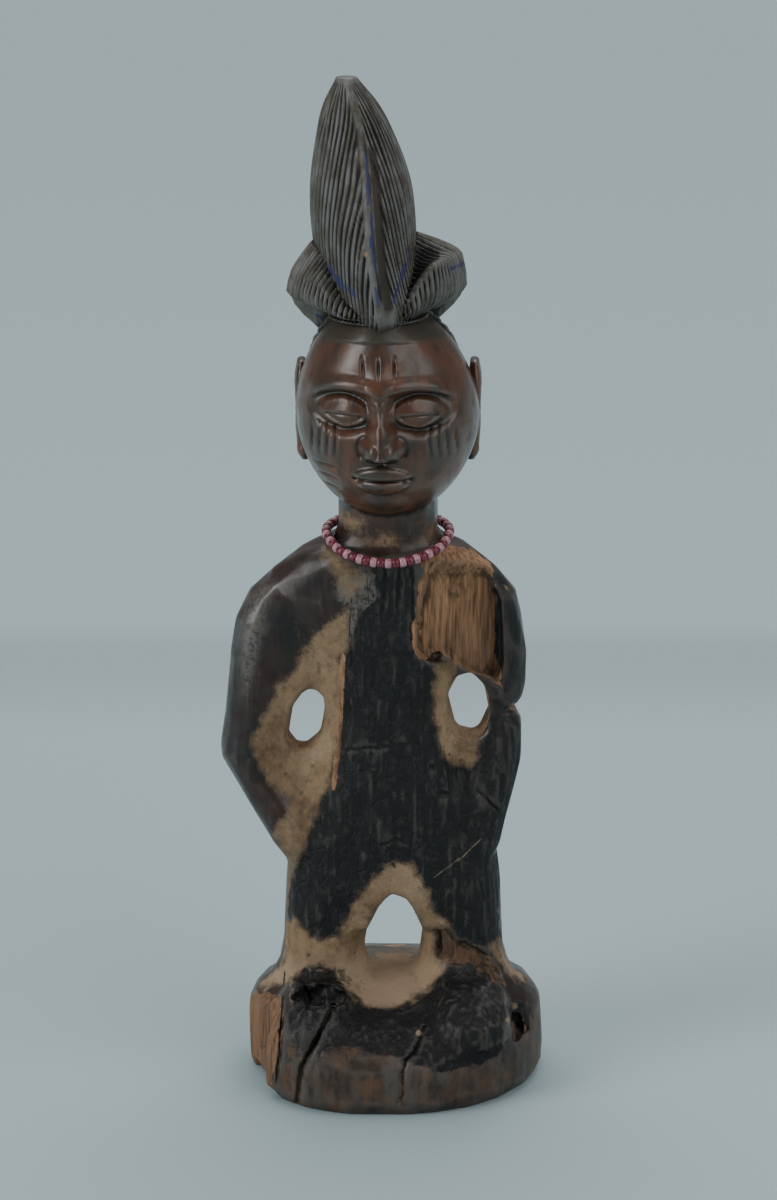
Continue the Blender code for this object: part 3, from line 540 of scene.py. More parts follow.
def make_brim():
    turn = 2.0 * np.pi * np.arange(BRIM_COLUMNS) / BRIM_COLUMNS
    s = np.sin(turn)
    c = np.cos(turn)
    power = BRIM_FULLNESS
    reach = np.where(c > 0.0, BRIM_FRONT, BRIM_BACK)
    ridge = ((np.abs(s) / BRIM_HALF_WIDTH) ** power + (np.abs(c) / reach) ** power) ** (-1.0 / power)
    ridge_z = ridge_height(turn)
    line_z = np.minimum(hairline_height(turn), ridge_z - 1.5)
    skin_out = head_reach(turn, line_z)
    tuck_z = np.maximum(line_z + 0.8, np.minimum(ridge_z - 9.0, 190.6 + 1.6 * s))
    low_z = 0.5 * (line_z + tuck_z)
    tuck = head_reach(turn, tuck_z) + HAIR_THICKNESS
    profile = [
        (skin_out - 5.0, line_z - 1.0, 0.0),
        (skin_out + 0.7 * HAIR_THICKNESS, line_z, 0.3),
        (head_reach(turn, low_z) + HAIR_THICKNESS, low_z, 0.9),
        (tuck, tuck_z, 1.0),
    ]
    for out, share in BRIM_WALL:
        profile.append((np.maximum(out * ridge, tuck), tuck_z + share * (ridge_z - tuck_z), 1.0))
    for out, climb, less in BRIM_TOP:
        valley = VALLEY_DEPTH * (0.7 + 0.3 * s) * lobe_share(turn) * smooth_step(0.95, 0.7, out)
        profile.append((out * ridge, ridge_z + climb - less * s - valley, 1.0))
    table = np.array([[row * np.ones(BRIM_COLUMNS) for row in rows] for rows in profile])
    steps = np.arange(len(profile), dtype=float)
    wanted = np.linspace(0.0, steps[-1], BRIM_ROWS)
    fine = smooth_rows(wanted, steps, table)
    rows, lane = np.meshgrid(wanted, turn, indexing="ij")
    where = np.stack((24.0 * np.sin(lane), 24.0 * np.cos(lane), 3.0 * rows), axis=-1).reshape(-1, 3)
    sway = noise(where, (3.5, 3.5, 9.0), 33).reshape(rows.shape)
    uneven = noise(where, (1.8, 1.8, 8.0), 34).reshape(rows.shape)
    phase = BRIM_GROOVES * lane / (2.0 * np.pi) + 0.35 * sway
    cut = 1.15 * GROOVE_DEPTH * (1.0 + 0.5 * uneven) * groove(phase)
    out = fine[:, 0] - cut * fine[:, 2]
    z = fine[:, 1] - 0.5 * cut * fine[:, 2] * smooth_step(6.0, 7.5, wanted)[:, None]
    return skin("brim", np.stack((BRIM_X + out * s, BRIM_Y - out * c, z + PLINTH_TOP), axis=-1))


# The body comes from the solid, with its facets worn smooth
NECK_CUT = 161.0
NECK_RUN = 12.0
WORN_SIZE = 0.62
WORN_STEPS = 5
BODY_SHARE = 0.26
TO_CAMERA = np.array((0.0, -math.cos(RISE), math.sin(RISE)))

# Forms of the damage, by pixels of the photograph
GAP_ARCH = [
    (452, 929), (437, 912), (430, 897), (420, 880), (412, 867), (397, 860), (385, 865), (375, 877),
    (362, 892), (350, 905), (347, 917), (335, 937),
]
CHARRED_FRONT = [
    (372, 566), (412, 566), (414, 600), (412, 640), (416, 662), (432, 668), (437, 720), (441, 750),
    (450, 764), (470, 770), (479, 764), (488, 735), (486, 718), (522, 716), (526, 760), (520, 790),
    (511, 830), (501, 860), (499, 900), (500, 938), (487, 947), (470, 942), *GAP_ARCH, (310, 938),
    (295, 918), (287, 912), (288, 900), (291, 885), (298, 865), (305, 850), (311, 828), (320, 802),
    (330, 780), (338, 742), (340, 700), (343, 665), (352, 645), (352, 610), (358, 590),
]
CHARRED_PLINTH = [
    (342, 985), (362, 1006), (380, 1009), (407, 1004), (425, 994), (437, 981), (447, 968), (470, 966),
    (490, 974), (501, 990), (504, 1020), (502, 1050), (488, 1062), (460, 1068), (440, 1074), (425, 1068),
    (400, 1056), (370, 1052), (340, 1046), (325, 1042), (312, 1050), (298, 1046), (290, 1022), (292, 992),
    (302, 978), (317, 974), (335, 975),
]
# Painted highlights on the shoulder and the elbow: lighter grey patches, which also get more gloss
POLISH_AND_PAINTED_HIGHLIGHT = [
    (236, 640), (244, 600), (262, 578), (282, 574), (270, 612), (262, 650), (254, 690), (240, 700),
]
ELBOW_POLISH_AND_PAINTED_HIGHLIGHT = [(222, 742), (230, 728), (252, 734), (250, 750), (244, 764), (226, 758)]
RAW_SHOULDER = [
    (423, 557), (434, 550), (448, 546), (464, 549), (481, 555), (492, 564), (495, 590), (495, 640),
    (498, 670), (503, 690), (487, 674), (469, 671), (456, 664), (445, 656), (431, 649), (425, 664),
    (413, 650), (412, 620), (417, 596),
]
SPLIT_SIDE = [
    (250, 994), (264, 991), (282, 996), (281, 1030), (277, 1060), (272, 1088), (261, 1084), (251, 1072),
    (247, 1040), (248, 1010),
]
STEPPED_BAND = [
    (436, 929), (446, 930), (452, 939), (475, 949), (492, 958), (500, 972), (504, 986), (495, 979),
    (480, 969), (460, 963), (447, 961), (440, 962), (435, 957),
]
EDGE_STRIP = [
    (341, 650), (346, 655), (344, 700), (341, 750), (336, 790), (331, 792), (334, 740), (336, 700),
]
INNER_ARM = [
    (350, 607), (351, 645), (342, 660), (340, 705), (338, 742), (331, 780), (321, 802), (312, 828),
    (305, 850), (298, 865), (291, 885), (289, 908), (282, 908), (282, 870), (280, 846), (272, 835),
    (283, 812), (288, 800), (272, 785), (260, 770), (253, 752), (252, 737), (262, 718), (272, 700),
    (278, 682), (294, 672), (297, 655), (310, 640), (330, 622),
]
GAP_RIM = [
    (432, 668), (447, 658), (456, 664), (453, 680), (451, 700), (457, 714), (466, 729), (478, 723),
    (485, 738), (479, 760), (470, 769), (450, 763), (441, 750), (437, 720), (432, 690),
]
SADDLE = [
    *reversed(GAP_ARCH), (440, 932), (435, 950), (445, 960), (446, 970), (437, 980), (425, 992),
    (407, 1003), (380, 1008), (362, 1005), (355, 997), (342, 982), (340, 970), (317, 962), (300, 975),
    (284, 985), (262, 990), (252, 984), (282, 964), (285, 950), (284, 918), (296, 918), (310, 938),
]
RIGHT_HEEL = [
    (488, 948), (499, 936), (505, 955), (520, 964), (536, 982), (520, 981), (505, 971), (495, 959),
]
COLLAR = [
    (316, 545), (334, 538), (345, 560), (360, 568), (374, 571), (352, 606), (340, 596), (333, 580),
    (322, 562),
]
WORN_CHEST = [
    (340, 572), (374, 574), (376, 600), (362, 612), (352, 640), (343, 640), (349, 607), (336, 596),
]
RIGHT_RIM = [
    (494, 566), (504, 576), (516, 610), (526, 650), (528, 690), (516, 706), (506, 694), (500, 668),
    (497, 640), (497, 590),
]
BURNT_HOLLOW = [
    (290, 976), (305, 970), (322, 974), (346, 970), (352, 984), (342, 1000), (318, 1006), (296, 1010),
]
EATEN_HOLLOW = [(505, 1008), (514, 1002), (524, 1004), (531, 1014), (531, 1030), (524, 1034), (514, 1024)]
HOLLOWS = (BURNT_HOLLOW, EATEN_HOLLOW)
TAN_AREAS = [(INNER_ARM, 1.0), (GAP_RIM, 1.0), (SADDLE, 1.0), (RIGHT_HEEL, 0.9), (COLLAR, 0.7)]
CRUST_EDGE = 6.0
TAN_EDGE = 11.0
HIGHLIGHT_EDGE = 14.0

# Lines of pixels, half width in pixels and depth in millimetres
CRACKS = [
    (((334, 1006), (323, 1028), (314, 1044), (305, 1062), (300, 1077), (297, 1109)), 3.6, 3.0),
    (((283, 999), (281, 1030), (280, 1056), (275, 1086)), 2.6, 2.0),
    (((424, 1027), (415, 1052), (404, 1063), (402, 1080), (401, 1102)), 2.6, 2.4),
    (((350, 600), (349, 618), (352, 650), (351, 668)), 1.6, 0.7),
    (((385, 566), (386, 590), (383, 612)), 2.4, 0.8),
    (((399, 562), (400, 584), (397, 606)), 2.4, 0.8),
    (((412, 566), (413, 600), (411, 640)), 2.2, 0.9),
    (((437, 932), (439, 946), (437, 957)), 3.8, 2.6),
    (((448, 962), (470, 968), (492, 978), (502, 990)), 2.2, 0.8),
    (((380, 846), (396, 838), (412, 846)), 1.6, 0.5),
    (((500, 812), (488, 800), (478, 790)), 1.6, 0.6),
    (((344, 750), (380, 748), (410, 742)), 1.4, 0.4),
    (((303, 985), (310, 1000), (302, 1018)), 3.0, 1.2),
]
# Pixel, radius in pixels and depth in millimetres
PITS = [
    ((395, 866), 4.0, 1.2), ((310, 956), 2.2, 1.0), ((354, 955), 3.0, 0.8), ((320, 970), 3.4, 1.0),
    ((395, 959), 2.6, 0.8), ((272, 748), 1.6, 0.5), ((284, 776), 1.6, 0.5), ((445, 797), 5.0, 0.9),
    ((432, 767), 4.0, 0.7), ((522, 1010), 9.0, 1.4), ((437, 655), 5.0, 1.6), ((264, 1050), 6.0, 1.4),
    ((460, 1000), 3.0, 0.4), ((420, 626), 4.5, 0.8),
]


def wobbled(places, points, size, reach):
    """Pixels moved about a little, so that an outline drawn over them comes out ragged."""
    shift = np.stack((noise(points, size, 3), noise(points, size, 4)), axis=1)
    return places + reach * shift


def carve(points, normals):
    """Moves the body's points for grain, breaks, burnt hollows and crusts."""
    places = photo_place(points)
    rough = wobbled(places, points, 2.6, 3.0)
    front = smooth_step(0.05, 0.35, normals @ TO_CAMERA)
    below = smooth_step(0.5, 3.0, points[:, 2])
    out = np.zeros(len(points))
    charred = areas(rough, (CHARRED_FRONT, CHARRED_PLINTH), 4.0) * front
    lumps = 0.3 * noise(points, (5.0, 5.0, 9.0), 6) + 0.24 * noise(points, (1.1, 1.1, 11.0), 5)
    out += charred * (lumps + 0.14 * noise(points, (1.6, 1.6, 2.6), 7) - 0.25)
    raw = area(wobbled(places, points, 1.8, 2.2), RAW_SHOULDER, 1.6) * front
    fibres = 0.4 * noise(points, (2.6, 4.0, 34.0), 8) + 0.22 * noise(points, (1.2, 2.0, 18.0), 9)
    out += raw * (fibres + 0.12 * noise(points, (0.8, 0.8, 7.0), 10))
    split = area(rough, SPLIT_SIDE, 2.0) * front
    out += split * (0.7 * noise(points, (2.2, 2.2, 24.0), 11) + 0.3 * noise(points, (1.1, 1.1, 9.0), 12))
    band = area(rough, STEPPED_BAND, 1.5) * front
    out -= 1.1 * band
    upright = smooth_step(0.4, 0.8, np.hypot(normals[:, 0], normals[:, 1]))
    wall = smooth_step(20.0, 15.0, points[:, 2]) * upright
    out += wall * (0.07 * noise(points, (1.6, 1.6, 9.0), 13) + 0.3 * noise(points, (6.0, 6.0, 8.0), 14))
    crust = areas(rough, [outline for outline, _ in TAN_AREAS], CRUST_EDGE) * front
    for outline in HOLLOWS:
        hole = area(rough, outline, 3.0) * front
        out += hole * (0.7 * noise(points, (2.2, 2.2, 3.0), 18) + 0.35 * noise(points, 1.2, 19) - 0.5)
    out += crust * (0.05 + 0.1 * noise(points, 1.5, 15) + 0.05 * noise(points, 0.8, 16))
    out += 0.1 * noise(points, (6.0, 6.0, 14.0), 17)
    moved = points + (out * below)[:, None] * normals
    sunk = np.zeros(len(points))
    uneven = wobbled(places, points, 1.6, 1.2)
    for line, half, deep in CRACKS:
        gap, along = line_distance(uneven, line)
        sunk = np.maximum(sunk, deep * bump(gap / half) * (0.5 + 0.5 * bump(1.6 * along - 0.6)))
    for middle, radius, deep in PITS:
        sunk = np.maximum(sunk, deep * bump(spot_distance(rough, middle) / radius))
    low = smooth_step(0.0, 1.0, points[:, 2])
    return moved - (sunk * front * low)[:, None] * TO_CAMERA * (1.0, 1.0, 0.0)


def make_body():
    made = add_object("figure", nodes["ibeji_figure"].data.copy())
    only(made)
    bpy.ops.object.mode_set(mode="EDIT")
    bpy.ops.mesh.select_all(action="SELECT")
    bpy.ops.mesh.remove_doubles(threshold=0.000002)
    bpy.ops.mesh.bisect(
        plane_co=(0.0, 0.0, NECK_CUT * MM), plane_no=(0.0, 0.0, 1.0), use_fill=True, clear_outer=True
    )
    bpy.ops.mesh.extrude_region_move(TRANSFORM_OT_translate={"value": (0.0, 0.0, NECK_RUN * MM)})
    bpy.ops.object.mode_set(mode="OBJECT")
    apply_modifier(made, "REMESH", mode="VOXEL", voxel_size=WORN_SIZE * MM)
    apply_modifier(made, "SMOOTH", factor=0.5, iterations=WORN_STEPS)
    points = carve(points_of(made.data), normals_of(made.data))
    low = np.array(cad_low) / MM
    high = np.array(cad_high) / MM
    set_points(made.data, np.clip(points, low, high))
    apply_modifier(made, "DECIMATE", ratio=BODY_SHARE)
    set_points(made.data, np.clip(points_of(made.data), low, high))
    return made


figure = make_body()
ears = [make_ear("left_ear", -1.0), make_ear("right_ear", 1.0)]
for piece in (make_head(), make_crest(), make_brim(), *ears):
    turn_outwards(piece)
    apply_modifier(figure, "BOOLEAN", operation="UNION", solver="MANIFOLD", object=piece)
    bpy.data.objects.remove(piece)


# Where each finish, painted shade and painted highlight lies, painted on the points of the finished
# carving
BLUE_LINES = [
    (((366, 156), (368, 190), (369, 208)), 2.6), (((371, 216), (373, 250), (376, 272)), 2.4),
    (((376, 290), (379, 308)), 2.2), (((341, 284), (350, 290), (356, 296)), 4.5),
    (((330, 268), (342, 286)), 3.0), (((449, 270), (463, 262)), 3.0), (((440, 314), (449, 313)), 2.6),
    (((412, 250), (402, 276), (393, 303)), 2.6), (((318, 318), (326, 315)), 2.2),
]
KEEL_SHADE = ((372, 150), (376, 180), (378, 210), (380, 240), (383, 275), (388, 308))
CHARRED_RIDGE = ((298, 1004), (292, 1040), (288, 1090))
PLINTH_FRONT = [
    (285, 1030), (420, 1050), (512, 1035), (512, 1075), (490, 1100), (400, 1120), (300, 1110), (285, 1090),
]
TAN_SPOTS = [
    ((507, 588), 4.0), ((515, 1006), 5.0), ((508, 1020), 4.0), ((419, 1033), 5.0), ((366, 254), 4.0),
]
# The painted highlight patches and how strongly each is painted
POLISH_AND_PAINTED_HIGHLIGHT_AREAS = [(POLISH_AND_PAINTED_HIGHLIGHT, 0.74), (ELBOW_POLISH_AND_PAINTED_HIGHLIGHT, 0.36)]
# Middles of the three gaps across and up, and how far their tan reaches, in millimetres
GAP_MIDDLES = [(-24.3, 102.5, 17.0), (20.0, 106.7, 17.0), (0.0, 42.0, 19.0)]
BLUR_STEPS = 7
BODY_TOP = 158.0
HEAD_BOTTOM = 164.0


def hollows(mesh, points, normals):
    """How far each point lies below its surroundings, in millimetres."""
    count = len(points)
    flat = np.empty(len(mesh.edges) * 2, np.int64)
    mesh.edges.foreach_get("vertices", flat)
    ends = np.concatenate((flat.reshape(-1, 2), flat.reshape(-1, 2)[:, ::-1]))
    degree = np.maximum(1.0, np.bincount(ends[:, 0], minlength=count))
    blurred = points.copy()
    for _ in range(BLUR_STEPS):
        beside = blurred[ends[:, 1]]
        total = [np.bincount(ends[:, 0], weights=column, minlength=count) for column in beside.T]
        blurred = 0.5 * blurred + 0.5 * np.stack(total, axis=1) / degree[:, None]
    return np.einsum("ij,ij->i", blurred - points, normals)


def add_paint(mesh, name, red, green, blue):
    layer = mesh.color_attributes.new(name, "FLOAT_COLOR", "POINT")
    values = np.stack((red, green, blue, np.ones(len(red))), axis=1)
    layer.data.foreach_set("color", np.clip(values, 0.0, 1.0).ravel())


def paint(made):
    mesh = made.data
    points = points_of(mesh)
    normals = normals_of(mesh)
    places = photo_place(points)
    front = smooth_step(0.0, 0.3, normals @ TO_CAMERA)
    body = smooth_step(HEAD_BOTTOM, BODY_TOP, points[:, 2])
    ragged = wobbled(places, points, 2.2, 4.0)
    seen = front * body
    x, y, z = points.T
    hollow = hollows(mesh, points, normals)
    level = np.hypot(normals[:, 0], normals[:, 1])

    streaks = noise(points, (2.4, 2.4, 10.0), 27)
    lower = smooth_step(1085.0, 1050.0, places[:, 1] + 16.0 * streaks) * area(ragged, PLINTH_FRONT, 8.0)
    ridge = bump(line_distance(places, CHARRED_RIDGE)[0] / 14.0)
    high = areas(ragged, (CHARRED_FRONT, RIGHT_RIM), 4.0)
    # Char on the plinth; the two hollows are painted as dark as char, as painted shade
    low = areas(ragged, (CHARRED_PLINTH, *HOLLOWS), 3.0)
    char_and_hollow_shade = np.maximum.reduce((high, low, 0.3 * ridge, 0.36 * lower)) * seen
    tan = np.zeros(len(points))
    patches = 0.86 + 0.3 * noise(points, 13.0, 28)
    for outline, strength in TAN_AREAS:
        tan = np.maximum(tan, strength * area(ragged, outline, TAN_EDGE) * patches * front)
    for middle, radius in TAN_SPOTS:
        tan = np.maximum(tan, bump(spot_distance(places, middle) / radius) * front)
    in_gaps = smooth_step(13.0, 6.0, np.abs(y)) * smooth_step(0.5, 0.15, np.abs(normals[:, 1]))
    gap_sides = np.zeros(len(points))
    for across, up, reach in GAP_MIDDLES:
        gap_sides = np.maximum(gap_sides, bump(np.hypot(x - across, z - up) / reach))
    tan = np.maximum(tan, 0.9 * smooth_step(0.05, 0.4, gap_sides) * in_gaps)
    neck = smooth_step(152.0, 156.0, z) * smooth_step(170.0, 164.0, z)
    neck = neck * smooth_step(22.0, 18.0, np.abs(x - HEAD_MIDDLE[0]))
    tan = np.maximum(tan, neck * (0.35 + 0.4 * noise(points, (5.0, 5.0, 3.0), 21)))
    dust = smooth_step(0.05, 0.3, hollow + 0.06 * noise(points, 4.0, 22)) * (1.0 - char_and_hollow_shade)
    band_z = BAND_Z + PLINTH_TOP
    on_head = (1.0 - body) * smooth_step(band_z, band_z - 1.5, z)
    tan = np.maximum(tan, dust * (0.7 * body + 0.42 * on_head * (0.7 + 0.6 * noise(points, 9.0, 29))))
    shoulder = area(ragged, RAW_SHOULDER, 2.0)
    split = area(ragged, SPLIT_SIDE, 2.0)
    raw = np.maximum(shoulder, split)
    raw = np.maximum(raw, 0.8 * area(places, EDGE_STRIP, 2.0)) * seen
    # Painted shade: the split shoulder darkens towards its lower right
    shade_low_right = smooth_step(-30.0, 60.0, (places[:, 1] - 615.0) + 0.5 * (places[:, 0] - 465.0))
    band = np.maximum(area(ragged, STEPPED_BAND, 2.0), 0.55 * split)
    band = np.maximum(band, 0.55 * shade_low_right * shoulder) * seen

    turn = np.arctan2(x - BRIM_X, -(y - BRIM_Y))
    line = hairline_height(turn) + PLINTH_TOP
    hair = smooth_step(line - 0.6, line, z)
    arch = 0.006 * (x - HEAD_MIDDLE[0]) ** 2 - band_z
    forehead = smooth_step(-0.4, 0.1, z + arch + 0.3 * noise(points, 4.0, 23)) * (1.0 - hair)
    blue = np.zeros(len(points))
    uneven = wobbled(places, points, 1.4, 1.6)
    for route, half in BLUE_LINES:
        gap = line_distance(uneven, route)[0]
        blue = np.maximum(blue, smooth_step(half, 0.4 * half, gap) * front)
    traces = smooth_step(0.55, 0.8, noise(points, (3.0, 3.0, 6.0), 24)) * smooth_step(0.02, 0.12, hollow)
    blue = np.maximum(blue, 0.45 * traces) * hair
    wear_and_highlight = area(ragged, WORN_CHEST, 3.0) * seen
    # Painted highlights: the shoulder and elbow patches join the worn chest in the grey paint
    for outline, strength in POLISH_AND_PAINTED_HIGHLIGHT_AREAS:
        wear_and_highlight = np.maximum(wear_and_highlight, strength * area(places, outline, HIGHLIGHT_EDGE) * seen)
    warm = smooth_step(158.0, 166.0, z) * (1.0 - hair)
    warm = np.maximum(warm, 0.5 * smooth_step(0.1, 0.6, noise(points, (14.0, 14.0, 30.0), 25)) * body)
    wall = smooth_step(23.0, 16.0, z + 1.5 * noise(points, 5.0, 26)) * smooth_step(0.2, 0.7, level)
    keel = smooth_step(5.2, 3.6, line_distance(places, KEEL_SHADE)[0]) * front
    # Painted shade: the depth paint is raised inside the two hollows, so they darken further
    for outline in HOLLOWS:
        hollow = hollow + 0.22 * area(ragged, outline, 2.0) * seen
    # The first channel holds char and the painted shade in the two hollows
    add_paint(mesh, "stain_and_shade", char_and_hollow_shade, tan, np.maximum(raw, 0.75 * band))
    # The first channel holds wear and the painted highlights
    add_paint(mesh, "finish", wear_and_highlight, warm, hair)
    add_paint(mesh, "marks", blue, wall, forehead)
    # The depth paint drives painted shade in hollows and in the hair's grooves
    add_paint(mesh, "depth", 0.5 + 1.6 * hollow, band, keel)


paint(figure)
figure.data.shade_smooth()


# Finishes
class Value:
    """A number or colour that changes over a surface, so that sums on it read as sums."""

    def __init__(self, finish, socket):
        self.finish = finish
        self.socket = socket

    def __add__(self, other):
        return self.finish.maths("ADD", self, other)

    __radd__ = __add__

    def __mul__(self, other):
        return self.finish.maths("MULTIPLY", self, other)

    __rmul__ = __mul__

    def __sub__(self, other):
        return self.finish.maths("SUBTRACT", self, other)

    def __rsub__(self, other):
        return self.finish.maths("SUBTRACT", other, self)


class Finish:
    """One material and its nodes."""

    def __init__(self, name):
        self.material = bpy.data.materials.new(name)
        self.material.use_nodes = True
        self.tree = self.material.node_tree
        self.shader = self.tree.nodes["Principled BSDF"]
        self.place = self.add("ShaderNodeTexCoord", {}, {}, "Object")

    def add(self, kind, settings, inputs, output=0):
        node = self.tree.nodes.new(kind)
        for key, value in settings.items():
            setattr(node, key, value)
        for key, value in inputs.items():
            self.feed(node.inputs[key], value)
        return Value(self, node.outputs[output])

    def feed(self, socket, value):
        if isinstance(value, Value):
            self.tree.links.new(value.socket, socket)
        elif isinstance(value, tuple) and len(value) == 3 and socket.type == "RGBA":
            socket.default_value = (*value, 1.0)
        else:
            socket.default_value = value

    def scaled(self, size, stretch):
        scale = tuple(1.0 / (size * s * MM) for s in stretch)
        return self.add("ShaderNodeMapping", {}, {"Vector": self.place, "Scale": scale})

    def noise(self, size, stretch=(1.0, 1.0, 1.0), detail=3.0, roughness=0.6, warp=0.0):
        """Clouds of that size in millimetres, from about 0 to 1."""
        sockets = {"Vector": self.scaled(size, stretch), "Scale": 1.0}
        sockets.update({"Detail": detail, "Roughness": roughness, "Distortion": warp})
        return self.add("ShaderNodeTexNoise", {}, sockets)

    def cells(self, size, stretch, waver):
        """Distance to the nearest edge of cracked cells, 0 on the edge."""
        where = self.scaled(size, stretch)
        sway = {0: (0.6, 0.6, 0.6), "Scale": waver}
        shift = self.add("ShaderNodeVectorMath", {"operation": "SCALE"}, sway)
        where = self.add("ShaderNodeVectorMath", {"operation": "ADD"}, {0: where, 1: shift})
        sockets = {"Vector": where, "Scale": 1.0, "Randomness": 1.0}
        return self.add("ShaderNodeTexVoronoi", {"feature": "DISTANCE_TO_EDGE"}, sockets)

    def step(self, value, low, high, bottom=0.0, top=1.0):
        """Climbs smoothly from bottom to top as the value goes from low to high."""
        settings = {"interpolation_type": "SMOOTHSTEP"}
        sockets = {"Value": value, "From Min": low, "From Max": high, "To Min": bottom, "To Max": top}
        return self.add("ShaderNodeMapRange", settings, sockets)

    def mix(self, share, first, second):
        sockets = {"Factor": share, 6: first, 7: second}
        return self.add("ShaderNodeMix", {"data_type": "RGBA"}, sockets, 2)

    def blend(self, value, low, high, first, second, most=1.0):
        """Goes from the first colour towards the second as the value goes from low to high."""
        return self.mix(self.step(value, low, high, 0.0, most), first, second)

    def lines(self, places, waver):
        """1 on thin lines over the front, each from pixel to pixel at a depth, and a little uneven."""
        x, y, z = (self.axis(name) for name in "XYZ")
        drawn = 0.0
        for start, end, depth, half in places:
            x1, z1 = flat_place(start, depth)
            x2, z2 = flat_place(end, depth)
            long = math.hypot(x2 - x1, z2 - z1)
            across = (x2 - x1) / long
            up = (z2 - z1) / long
            dx = x * (1.0 / MM) - x1
            dz = z * (1.0 / MM) - z1
            run = dx * across + dz * up
            off = dx * up - dz * across + (waver - 0.5) * 1.2 * half
            gap = self.maths("ABSOLUTE", off)
            ends = self.step(run, -0.5, 0.5) * self.step(run, long + 0.5, long - 0.5)
            mark = self.step(gap, half, 0.3 * half) * ends
            drawn = self.maths("MAXIMUM", drawn, mark)
        return drawn * self.step(y, -0.004, -0.006)

    def maths(self, operation, first, second=0.0):
        return self.add("ShaderNodeMath", {"operation": operation}, {0: first, 1: second})

    def axis(self, name):
        """How far along X, Y or Z a place is, in metres."""
        return self.add("ShaderNodeSeparateXYZ", {}, {"Vector": self.place}, name)

    def channels(self, name):
        """The three numbers painted under that name."""
        colour = self.add("ShaderNodeAttribute", {"attribute_name": name}, {}, "Color")
        return [self.add("ShaderNodeSeparateColor", {}, {0: colour}, k) for k in range(3)]

    def finish(self, colour, roughness, height=None, distance=0.0, strength=1.0):
        self.feed(self.shader.inputs["Base Color"], colour)
        self.feed(self.shader.inputs["Roughness"], roughness)
        if height is not None:
            sockets = {"Height": height, "Distance": distance, "Strength": strength}
            self.feed(self.shader.inputs["Normal"], self.add("ShaderNodeBump", {}, sockets, "Normal"))
        return self.material


BROWN = (0.030, 0.0125, 0.009)
DEEP_BROWN = (0.008, 0.0055, 0.005)
RED_BROWN = (0.095, 0.036, 0.016)
FACE_BROWN = (0.038, 0.022, 0.013)
RUBBED_BROWN = (0.170, 0.082, 0.038)
HAIR_LIGHT = (0.142, 0.142, 0.134)
# Painted shade for the hair's grooves
HAIR_GROOVE_SHADE = (0.014, 0.014, 0.014)
HAIR_OLIVE = (0.072, 0.065, 0.048)
FOREHEAD = (0.046, 0.038, 0.027)
KEEL_DARK = (0.030, 0.024, 0.016)
# Char, also painted into two hollows as painted shade
CHAR_AND_SHADE = (0.0065, 0.0065, 0.0070)
CHAR_AND_SHADE_GREY = (0.038, 0.038, 0.041)
TAN = (0.280, 0.192, 0.114)
TAN_LIGHT = (0.375, 0.282, 0.188)
TAN_DEEP = (0.135, 0.086, 0.049)
RAW_WOOD = (0.430, 0.240, 0.134)
RAW_DARK = (0.130, 0.066, 0.035)
# Grey for wear on raised places and for the painted highlights
WEAR_AND_HIGHLIGHT_GREY = (0.120, 0.106, 0.092)
WALL_BROWN = (0.070, 0.043, 0.028)
WALL_DARK = (0.024, 0.019, 0.016)
WALL_GREY = (0.075, 0.070, 0.064)
WALL_ORANGE = (0.125, 0.058, 0.026)
BLUE = (0.034, 0.038, 0.130)
# Black for cracks in char and wood, and for painted shade in deep hollows
SOOT_AND_SHADE = (0.007, 0.006, 0.005)
# Thin lines on the front: ends by pixel, depth y in millimetres, half width in millimetres
SCRATCH = [((434, 883), (460, 864), -17.0, 0.16), ((458, 865), (481, 845), -15.0, 0.24)]
HAIR_CRACKS = [
    ((352, 596), (349, 640), -13.0, 0.16), ((349, 640), (352, 668), -13.0, 0.14),
    ((366, 562), (369, 604), -13.0, 0.14), ((378, 700), (374, 742), -14.0, 0.12),
    ((344, 752), (408, 741), -15.0, 0.14), ((478, 790), (500, 812), -8.0, 0.2),
    ((283, 1000), (276, 1086), -30.0, 0.3), ((412, 700), (408, 742), -14.0, 0.14),
]


def flat_place(pixel, y):
    """Where a pixel of the photograph lies across and up, in millimetres, at a depth of y."""
    scale = LENS / SENSOR * PHOTO_HEIGHT
    across = (pixel[0] - PHOTO_WIDTH / 2.0) / scale
    up = (PHOTO_HEIGHT / 2.0 - pixel[1]) / scale
    far = DISTANCE / MM + y * math.cos(RISE)
    z = (up * far - y * math.sin(RISE)) / (math.cos(RISE) + up * math.sin(RISE))
    away = far - z * math.sin(RISE)
    return across * away + AIM.x / MM, z + AIM.z / MM


